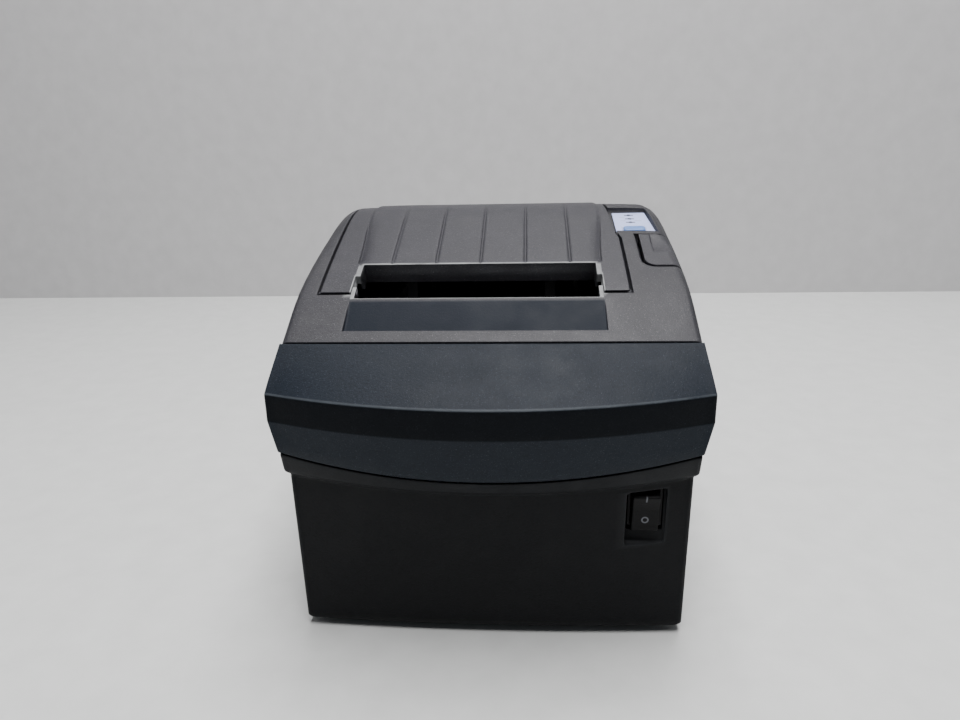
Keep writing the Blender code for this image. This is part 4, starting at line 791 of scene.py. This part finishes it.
def button_skin():
    """Cover opening button: the housing's roof, shoulder and side over a footprint with one round
    corner; a cylinder along X presses a thumb dish into it."""
    left, front, back, low = BUTTON
    ys = lines(edge_lines(front, -1)[:-1], run(front + 0.8, front + 6, 7), run(front + 7, back - 1, 15),
               edge_lines(back, 1)[:-1])
    ys = ys[(ys >= front - 1e-6) & (ys <= back + 1e-6)]
    corner = BUTTON_CORNER
    reach = np.clip(front + corner - ys, 0, corner)
    start = left + corner - np.sqrt(np.maximum(corner**2 - reach**2, 0.0))
    radius = shoulder_radius(ys)
    edge_x = SHELL_HALF - radius
    share = np.concatenate([[0, 0.006, 0.018, 0.03], run(0.06, 1.0, 22)])
    x = start[:, None] + (edge_x - start)[:, None] * share[None, :]
    y = np.repeat(ys[:, None], len(share), 1)
    top = np.stack([x, y, roof(x, y)], -1)
    turns = np.radians(np.array([84, 70, 56, 42, 28, 14, 0]))
    at = roof(edge_x, ys) - radius
    bend = np.stack([edge_x[:, None] + radius[:, None] * np.cos(turns), np.repeat(ys[:, None], 7, 1),
                     at[:, None] + radius[:, None] * np.sin(turns)], -1)
    falls = np.array([0.12, 0.3, 0.5, 0.7, 0.85, 0.96, 1.0])
    side = np.stack([np.full((len(ys), 7), SHELL_HALF), np.repeat(ys[:, None], 7, 1),
                     at[:, None] + (low - at)[:, None] * falls], -1)
    points = np.concatenate([top, bend, side], 1)
    dish_z = DISH[1] - np.sqrt(np.maximum(DISH[2] ** 2 - (points[..., 1] - DISH[0]) ** 2, 0.0))
    inside = ease(points[..., 0], 61.1, 61.7)
    pressed = np.minimum(points[..., 2], dish_z + (1 - inside) * 6)
    column = np.arange(points.shape[1])
    last_round = len(share) + 6
    under_dish = np.maximum(pressed[:, last_round][:, None] - 0.3 * (column - last_round)[None, :], low)
    points[..., 2] = np.where((column <= last_round)[None, :], pressed,
                              np.minimum(points[..., 2], under_dish))
    # a skirt of three rings falls from the footprint's edge
    centre = np.array([64.0, 0.5 * (front + back), 116.0])
    rows, cols = points.shape[:2]
    index = np.arange(rows * cols).reshape(rows, cols)
    ring_index = np.concatenate([index[0], index[1:, -1], index[-1, ::-1][1:], index[::-1, 0][1:-1]])
    ring = points.reshape(-1, 3)[ring_index]
    heading = centre - ring
    heading[:, 2] = 0
    heading /= np.linalg.norm(heading, axis=1, keepdims=True)
    on_side = ring[:, 0] > SHELL_HALF - 0.5
    down = np.where(on_side[:, None], np.array([[-1.0, 0, 0]]), np.array([[0, 0, -1.0]]))
    drops = [ring + down * d + heading * 0.06 for d in (0.5, 1.4, 2.6)]
    base = rows * cols
    count = len(ring)
    stack = np.stack([ring_index] + [base + k * count + np.arange(count) for k in range(3)])
    stack = np.concatenate([stack, stack[:, :1]], 1)
    skirt_faces = np.stack([stack[:-1, :-1], stack[1:, :-1], stack[1:, 1:], stack[:-1, 1:]], -1)
    faces = np.concatenate([grid_faces(rows, cols), skirt_faces.reshape(-1, 4)])
    all_points = np.concatenate([points.reshape(-1, 3)] + drops)
    edge = np.zeros(len(all_points))
    obj = mesh_from("open_button_skin", all_points, faces, charcoal, {"edge": edge})
    weld(obj)
    thicken(obj, 0.8)
    return place(obj, "cover_button", "charcoal_plastic", "cover_button")


# ---- control panel -------------------------------------------------------------------------
def on_panel(points):
    """Moves points from the panel's own plane (across, up the slope, out) into place."""
    normal = np.array([0.0, -PANEL_SLOPE, 1.0])
    normal /= np.linalg.norm(normal)
    along = np.array([0.0, normal[2], -normal[1]])
    origin = np.array([PANEL_X, PANEL_Y, PANEL_Z])
    return (origin + points[..., :1] * np.array([1.0, 0.0, 0.0]) + points[..., 1:2] * along
            + points[..., 2:] * normal)


def rounded_outline(left, right, front, back, radius, steps=10):
    """A rectangle with round corners, counter-clockwise: quarter circles joined by straight sides."""
    angles = np.radians(np.linspace(0, 90, steps))
    ring = []
    for cx, cy, start in ((right - radius, back - radius, 0), (left + radius, back - radius, 90),
                          (left + radius, front + radius, 180), (right - radius, front + radius, 270)):
        turn = angles + math.radians(start)
        ring.append(np.stack([cx + radius * np.cos(turn), cy + radius * np.sin(turn)], -1))
    return np.concatenate(ring)


def pad(name, outline, levels, crown, material, transform):
    """A low key: rings of one outline at (inset, height) levels, then shrinking rings over a top that
    rises by crown as a parabola; the inset moves every point towards the outline's middle."""
    middle = outline.mean(0)
    arms = outline - middle
    length = np.linalg.norm(arms, axis=1, keepdims=True)
    rings = [np.concatenate([middle + arms * (1 - inset / length), np.full((len(arms), 1), z)], 1)
             for inset, z in levels]
    top = rings[-1]
    for share in np.linspace(0.9, 0.0, 10):
        ring = middle + (top[:, :2] - middle) * share
        height = levels[-1][1] + crown * (1 - share**2)
        rings.append(np.concatenate([ring, np.full((len(arms), 1), height)], 1))
    rings.insert(0, np.concatenate([np.repeat(middle[None], len(arms), 0),
                                    np.full((len(arms), 1), levels[0][1])], 1))
    points = np.stack(rings)
    faces = grid_faces(len(rings), len(arms), wrap=True)
    return weld(mesh_from(name, transform(points.reshape(-1, 3)), faces, material), 1e-7)


def label_piece():
    """Panel label: a film over a slanted outline with three printed marks and short dashes beside
    them; ink is 1 inside each mark and fades over a tenth of a millimetre."""
    v = run(-0.7, 24.0, 190)
    share = run(0.0, 1.0, 130)
    right = 8.9 - 2.4 * (v + 0.7) / 24.7
    x = -7.4 + (right + 7.4)[:, None] * share[None, :]
    y = np.repeat(v[:, None], len(share), 1)
    near = np.minimum(np.minimum(share[None, :], 1 - share[None, :]) * 16.0, within(y, v[0], v[-1]))
    z = 0.65 - 0.12 * (1 - ease(near, 0.0, 0.15))
    points = np.stack([x, y, z], -1)
    ink_and_painted_shade = np.zeros_like(x)
    marks = [(LAMP_X, at, 1.9, 0.62) for at in LAMPS]
    marks += [(-3.6, 18.9, 1.1, 0.16), (-3.4, 15.1, 1.0, 0.16), (2.7, 15.1, 1.4, 0.16),
              (2.4, 22.6, 0.9, 0.14)]
    for cx, cy, half_x, half_y in marks:
        inside = np.minimum(half_x - np.abs(x - cx), half_y - np.abs(y - cy))
        ink_and_painted_shade = np.maximum(ink_and_painted_shade, ease(inside, -0.06, 0.06) * (0.72 if half_y < 0.5 else 0.95))
    rim = ease(np.minimum(5.1 - np.abs(x - 0.1), 3.1 - np.abs(y - 5.3)), -0.05, 0.1)
    ink_and_painted_shade = np.maximum(ink_and_painted_shade, 0.35 * rim)
    obj = mesh_from("label_film", on_panel(points.reshape(-1, 3)), grid_faces(*x.shape), label_printed,
                    {"ink_and_painted_shade": ink_and_painted_shade.ravel()})
    thicken(obj, 0.4)
    return place(obj, "case", "label_plastic", "panel_label")


def lens_pieces():
    """Three small lamp lenses: round pads with a low dome."""
    outline = rounded_outline(LAMP_X - 0.85, LAMP_X + 0.85, -0.85, 0.85, 0.84, 8)
    for index, at in enumerate(LAMPS):
        shifted = outline + np.array([0.0, at])
        obj = pad(f"lamp_lens_{index + 1}", shifted, [(0.0, -1.0), (0.0, 0.66), (0.06, 0.74)], 0.12,
                  lens_clear, on_panel)
        place(obj, "case", "lens", *(["lamp_lenses"] if index == 0 else []))


def feed_key():
    """Feed button: a pill with a rolled edge and a slightly crowned top."""
    outline = rounded_outline(*FEED_KEY, 1.4)
    levels = [(0.0, -2.6), (0.0, 1.05), (0.05, 1.25), (0.18, 1.42), (0.4, 1.52)]
    obj = pad("feed_key", outline, levels, 0.08, button_blue, on_panel)
    return place(obj, "feed_button", "feed_button_plastic", "feed_button")


# ---- power switch --------------------------------------------------------------------------
def rocker():
    """Rocker: a closed profile in Y and Z swept across X with rolled ends; its front is two hollow
    curves meeting on a middle line, with a bar and a ring printed as ink."""
    middle = 52.8
    z = run(middle - 8.2, middle + 5.7, 140)
    share = (z - middle) / 5.6
    upper = -83.6 - 1.9 * np.clip(share, 0, 1) ** 1.3
    front_y = np.where(z < middle, -83.6 + 0.35 * np.clip(-share, 0, 1) ** 0.8, upper)
    front_y = front_y + 0.35 * (1 - ease(within(z, z[0], z[-1]), 0.0, 0.7)) ** 2
    back = np.array([[-83.9, middle + 6.0], [-81.0, middle + 6.0], [-75.6, middle + 2.6],
                     [-75.6, middle - 2.6],
                     [-80.5, middle - 8.0], [-82.7, middle - 8.3]])
    profile = np.concatenate([np.stack([front_y, z], -1), back])
    centre = np.array([-80.5, middle])
    x0, x1 = SWITCH_X - 4.4, SWITCH_X + 4.5
    across = lines([x0, x0 + 0.08, x0 + 0.22, x0 + 0.45], run(x0 + 0.55, x1 - 0.55, 80),
                   [x1 - 0.45, x1 - 0.22, x1 - 0.08, x1])
    rolled = 0.45 * (1 - np.sqrt(np.clip(1 - (1 - np.clip(within(across, x0, x1) / 0.45, 0, 1)) ** 2, 0, 1)))
    arms = profile - centre
    length = np.linalg.norm(arms, axis=1)
    scale = 1 - rolled[:, None] / length[None, :]
    rings = centre + arms[None] * scale[..., None]
    points = np.concatenate([np.repeat(across[:, None, None], len(profile), 1), rings], -1)
    ends = [np.broadcast_to(np.array([x, *centre]), (1, len(profile), 3)) for x in (x0, x1)]
    points = np.concatenate([ends[0], points, ends[1]])
    x, height = points[..., 0] - SWITCH_X, points[..., 2]
    bar = np.minimum(0.24 - np.abs(x), 1.1 - np.abs(height - 57.4))
    ring = 0.24 - np.abs(np.hypot(x, height - 48.9) - 1.0)
    ink_and_painted_shade = ease(np.maximum(bar, ring), -0.07, 0.07) * (points[..., 1] < -82.0)
    faces = grid_faces(*points.shape[:2], wrap=True)
    obj = mesh_from("rocker_key", points.reshape(-1, 3), faces, rocker_plastic, {"ink_and_painted_shade": ink_and_painted_shade.ravel()})
    weld(obj, 1e-7)
    return place(obj, "power_rocker", "black_plastic", "power_rocker")


# ---- turned pieces -------------------------------------------------------------------------
def turned(name, axis, centre, profile, material, count=64):
    """A lathed piece: (along, radius) points turned round a line parallel to X, Y or Z, closed where
    the profile starts and ends."""
    profile = np.array(profile, float)
    angle = np.linspace(0, 2 * np.pi, count, endpoint=False)
    along = np.repeat(profile[:, :1], count, 1)
    u = centre[0] + profile[:, 1:] * np.cos(angle)[None]
    v = centre[1] + profile[:, 1:] * np.sin(angle)[None]
    order = {"X": (along, u, v), "Y": (u, along, v), "Z": (u, v, along)}[axis]
    points = np.stack(order, -1)
    faces = grid_faces(len(profile), count, wrap=True)
    return weld(mesh_from(name, points.reshape(-1, 3), faces, material), 1e-7)


def tube_profile(low, high, outer, bore, edge):
    """Closed profile of a tube with rounded outer edges: up the outside and back down the bore."""
    turn = np.radians(np.linspace(90, 0, 6))
    first = [(low + edge - edge * math.sin(a), outer - edge + edge * math.cos(a)) for a in turn]
    last = [(high - edge + edge * math.sin(a), outer - edge + edge * math.cos(a)) for a in turn[::-1]]
    return [(low, bore)] + first + last + [(high, bore), (low, bore)]


def rod_profile(low, high, radius, edge):
    """Closed profile of a solid rod with rounded edges."""
    return tube_profile(low, high, radius, 0.0, edge)[:-1]


def feet():
    """Four rubber feet: low turned discs with a rounded rim and a shallow ring in the sole."""
    for name, x, y in (("foot_front_left", -55, -66), ("foot_front_right", 55, -66),
                       ("foot_back_left", -55, 80), ("foot_back_right", 55, 80)):
        profile = [(0.35, 0.0), (0.35, 4.6), (0.0, 5.0), (0.0, 6.3), (0.2, 6.8), (0.6, 7.0), (3.6, 7.0),
                   (3.7, 6.9), (3.7, 0.0)]
        place(turned(name + "_disc", "Z", (x, y), profile, rubber), "case", "rubber", name)


def platen():
    """Platen: a rubber tube with rounded ends on a ground shaft, both turned."""
    centre = (-20.0, 92.0)
    tube = turned("platen_tube", "X", centre, tube_profile(-46.35, 35.65, 7.5, 2.8, 0.4), rubber)
    place(tube, "platen", "rubber", "platen_roller")
    shaft = turned("platen_rod", "X", centre, rod_profile(-59.2, 40.65, 2.5, 0.3), shaft_steel, 32)
    place(shaft, "platen", "steel", "platen_shaft")


def roll_cradle():
    """Roll bin: a half round trough swept across X, its curve rising straight to the rim, with end
    walls that fill the trough's outline; one grid runs up the left wall, across and up the right."""
    y0, z0, radius, top = 37.0, 90.0, 43.2, 97.0
    turn = np.radians(np.linspace(180, 360, 72))
    curve = np.stack([y0 + radius * np.cos(turn), z0 + radius * np.sin(turn)], -1)
    curve = np.concatenate([[[y0 - radius, top]], curve, [[y0 + radius, top]]])
    left, right = -47.35, 36.65
    rise = np.linspace(1.0, 0.0, 6)
    cap = np.stack([np.stack([np.full(len(curve), left), curve[:, 0],
                              curve[:, 1] + (top - curve[:, 1]) * share], -1) for share in rise])
    across = np.stack([np.stack([np.full(len(curve), x), curve[:, 0], curve[:, 1]], -1)
                       for x in run(left, right, 8)[1:-1]])
    far = cap[::-1].copy()
    far[..., 0] = right
    points = np.concatenate([cap, across, far])
    faces = grid_faces(*points.shape[:2])[:, ::-1]
    obj = mesh_from("roll_cradle", points.reshape(-1, 3), faces, black)
    thicken(obj, 1.4)
    return place(obj, "case", "black_plastic", "roll_bin")


# ---- plastics with printed parts and painted shade, then the pieces themselves -------------------
# front cover: a darker, bluer copy of the housing plastic, painted shade with a bluish painted reflection;
# its band is painted darker still
charcoal_shaded_front = lay_ink_and_painted_shade(moulded("front_cover_plastic_painted_shade", (0.0075, 0.011, 0.017), (0.07, 0.085, 0.11), 0.5,
                               sparkle=0.6, dust=0.008, painted_highlight=(0.07, 0.08, 0.09), sheen=0.12),
                       (0.002, 0.0024, 0.003), 0.75, 0.08)
# housing plastic with the tray's painted shade: darker and bluer where the tray's mask is set
charcoal_shaded_tray = lay_ink_and_painted_shade(moulded("housing_plastic_painted_tray_shade", (0.018, 0.018, 0.0225), (0.17, 0.16, 0.17), 0.5,
                              sparkle=0.8, painted_highlight=EDGE_HIGHLIGHT, sheen=0.3), (0.004, 0.0075, 0.014), 0.9, 0.08)
label_printed = lay_ink_and_painted_shade(label_film, (0.10, 0.11, 0.17))
rocker_plastic = lay_ink_and_painted_shade(moulded("rocker_plastic", (0.003, 0.003, 0.0035), (0.02, 0.02, 0.02), 0.42, 0.8,
                               0.2, 0.01, sheen=0.12), (0.13, 0.135, 0.15))
housing_skin()
lid_skin()
case_skin()
cover_skin()
button_skin()
label_piece()
lens_pieces()
feed_key()
rocker()
feet()
platen()
roll_cradle()


# ---- room, light and camera ----------------------------------------------------------------
def plain(name, colour, roughness=0.8, mottled=0.04):
    return soft(name, colour, roughness, 90.0, mottled, 0.02)


def sheet(name, corners, material):
    """One flat four-cornered face of the room."""
    return mesh_from(name, np.array(corners, float), np.array([[0, 1, 2, 3]]), material)


def room():
    """A pale table top and a wall that stands on its back edge."""
    side, wall_y, front, height = 1800, 431, -1500, 1800
    table = sheet("table", [[-side, front, 0], [side, front, 0], [side, wall_y, 0], [-side, wall_y, 0]],
                  plain("table_paint", (0.62, 0.63, 0.62), 0.6))
    wall = sheet("wall", [[-side, wall_y, 0], [side, wall_y, 0], [side, wall_y, height],
                          [-side, wall_y, height]], plain("wall_paint", (0.55, 0.545, 0.55), 0.9))


def area_light(name, at, aim, size, power, colour):
    data = bpy.data.lights.new(name, "AREA")
    data.shape = "RECTANGLE"
    data.size, data.size_y = size
    data.energy = power
    data.color = colour
    obj = bpy.data.objects.new(name, data)
    obj.location = at
    obj.rotation_euler = (Vector(aim) - Vector(at)).to_track_quat("-Z", "Y").to_euler()
    bpy.context.scene.collection.objects.link(obj)


def camera():
    """Camera from its place and its three turns: yaw, pitch and roll."""
    yaw, pitch, roll = -0.0697, 0.331, -0.024
    forward = Vector((math.sin(yaw) * math.cos(pitch), math.cos(yaw) * math.cos(pitch), -math.sin(pitch)))
    right = Vector((math.cos(yaw), -math.sin(yaw), 0.0))
    up = right.cross(forward)
    right, up = (right * math.cos(roll) + up * math.sin(roll), -right * math.sin(roll) + up * math.cos(roll))
    data = bpy.data.cameras.new("camera")
    data.lens, data.sensor_width = 27.0, 36.0
    data.clip_start, data.clip_end = 0.01, 20.0
    obj = bpy.data.objects.new("camera", data)
    place_matrix = Matrix((right, up, -forward)).transposed().to_4x4()
    place_matrix.translation = Vector((0.013209, -0.296430, 0.178967))
    obj.matrix_world = place_matrix
    bpy.context.scene.collection.objects.link(obj)
    bpy.context.scene.camera = obj


room()
area_light("ceiling", (0.06, 0.17, 1.15), (0.04, 0.17, 0.0), (1.7, 0.5), 44.0, (1.0, 0.99, 0.995))
area_light("window", (-0.3, -1.3, 0.9), (0, 0, 0.10), (1.2, 0.6), 0.25, (0.66, 0.83, 1.0))
world = bpy.data.worlds.new("room_light")
world.use_nodes = True
world.node_tree.nodes["Background"].inputs["Color"].default_value = (0.80, 0.82, 0.86, 1.0)
world.node_tree.nodes["Background"].inputs["Strength"].default_value = 0.12
bpy.context.scene.world = world
camera()
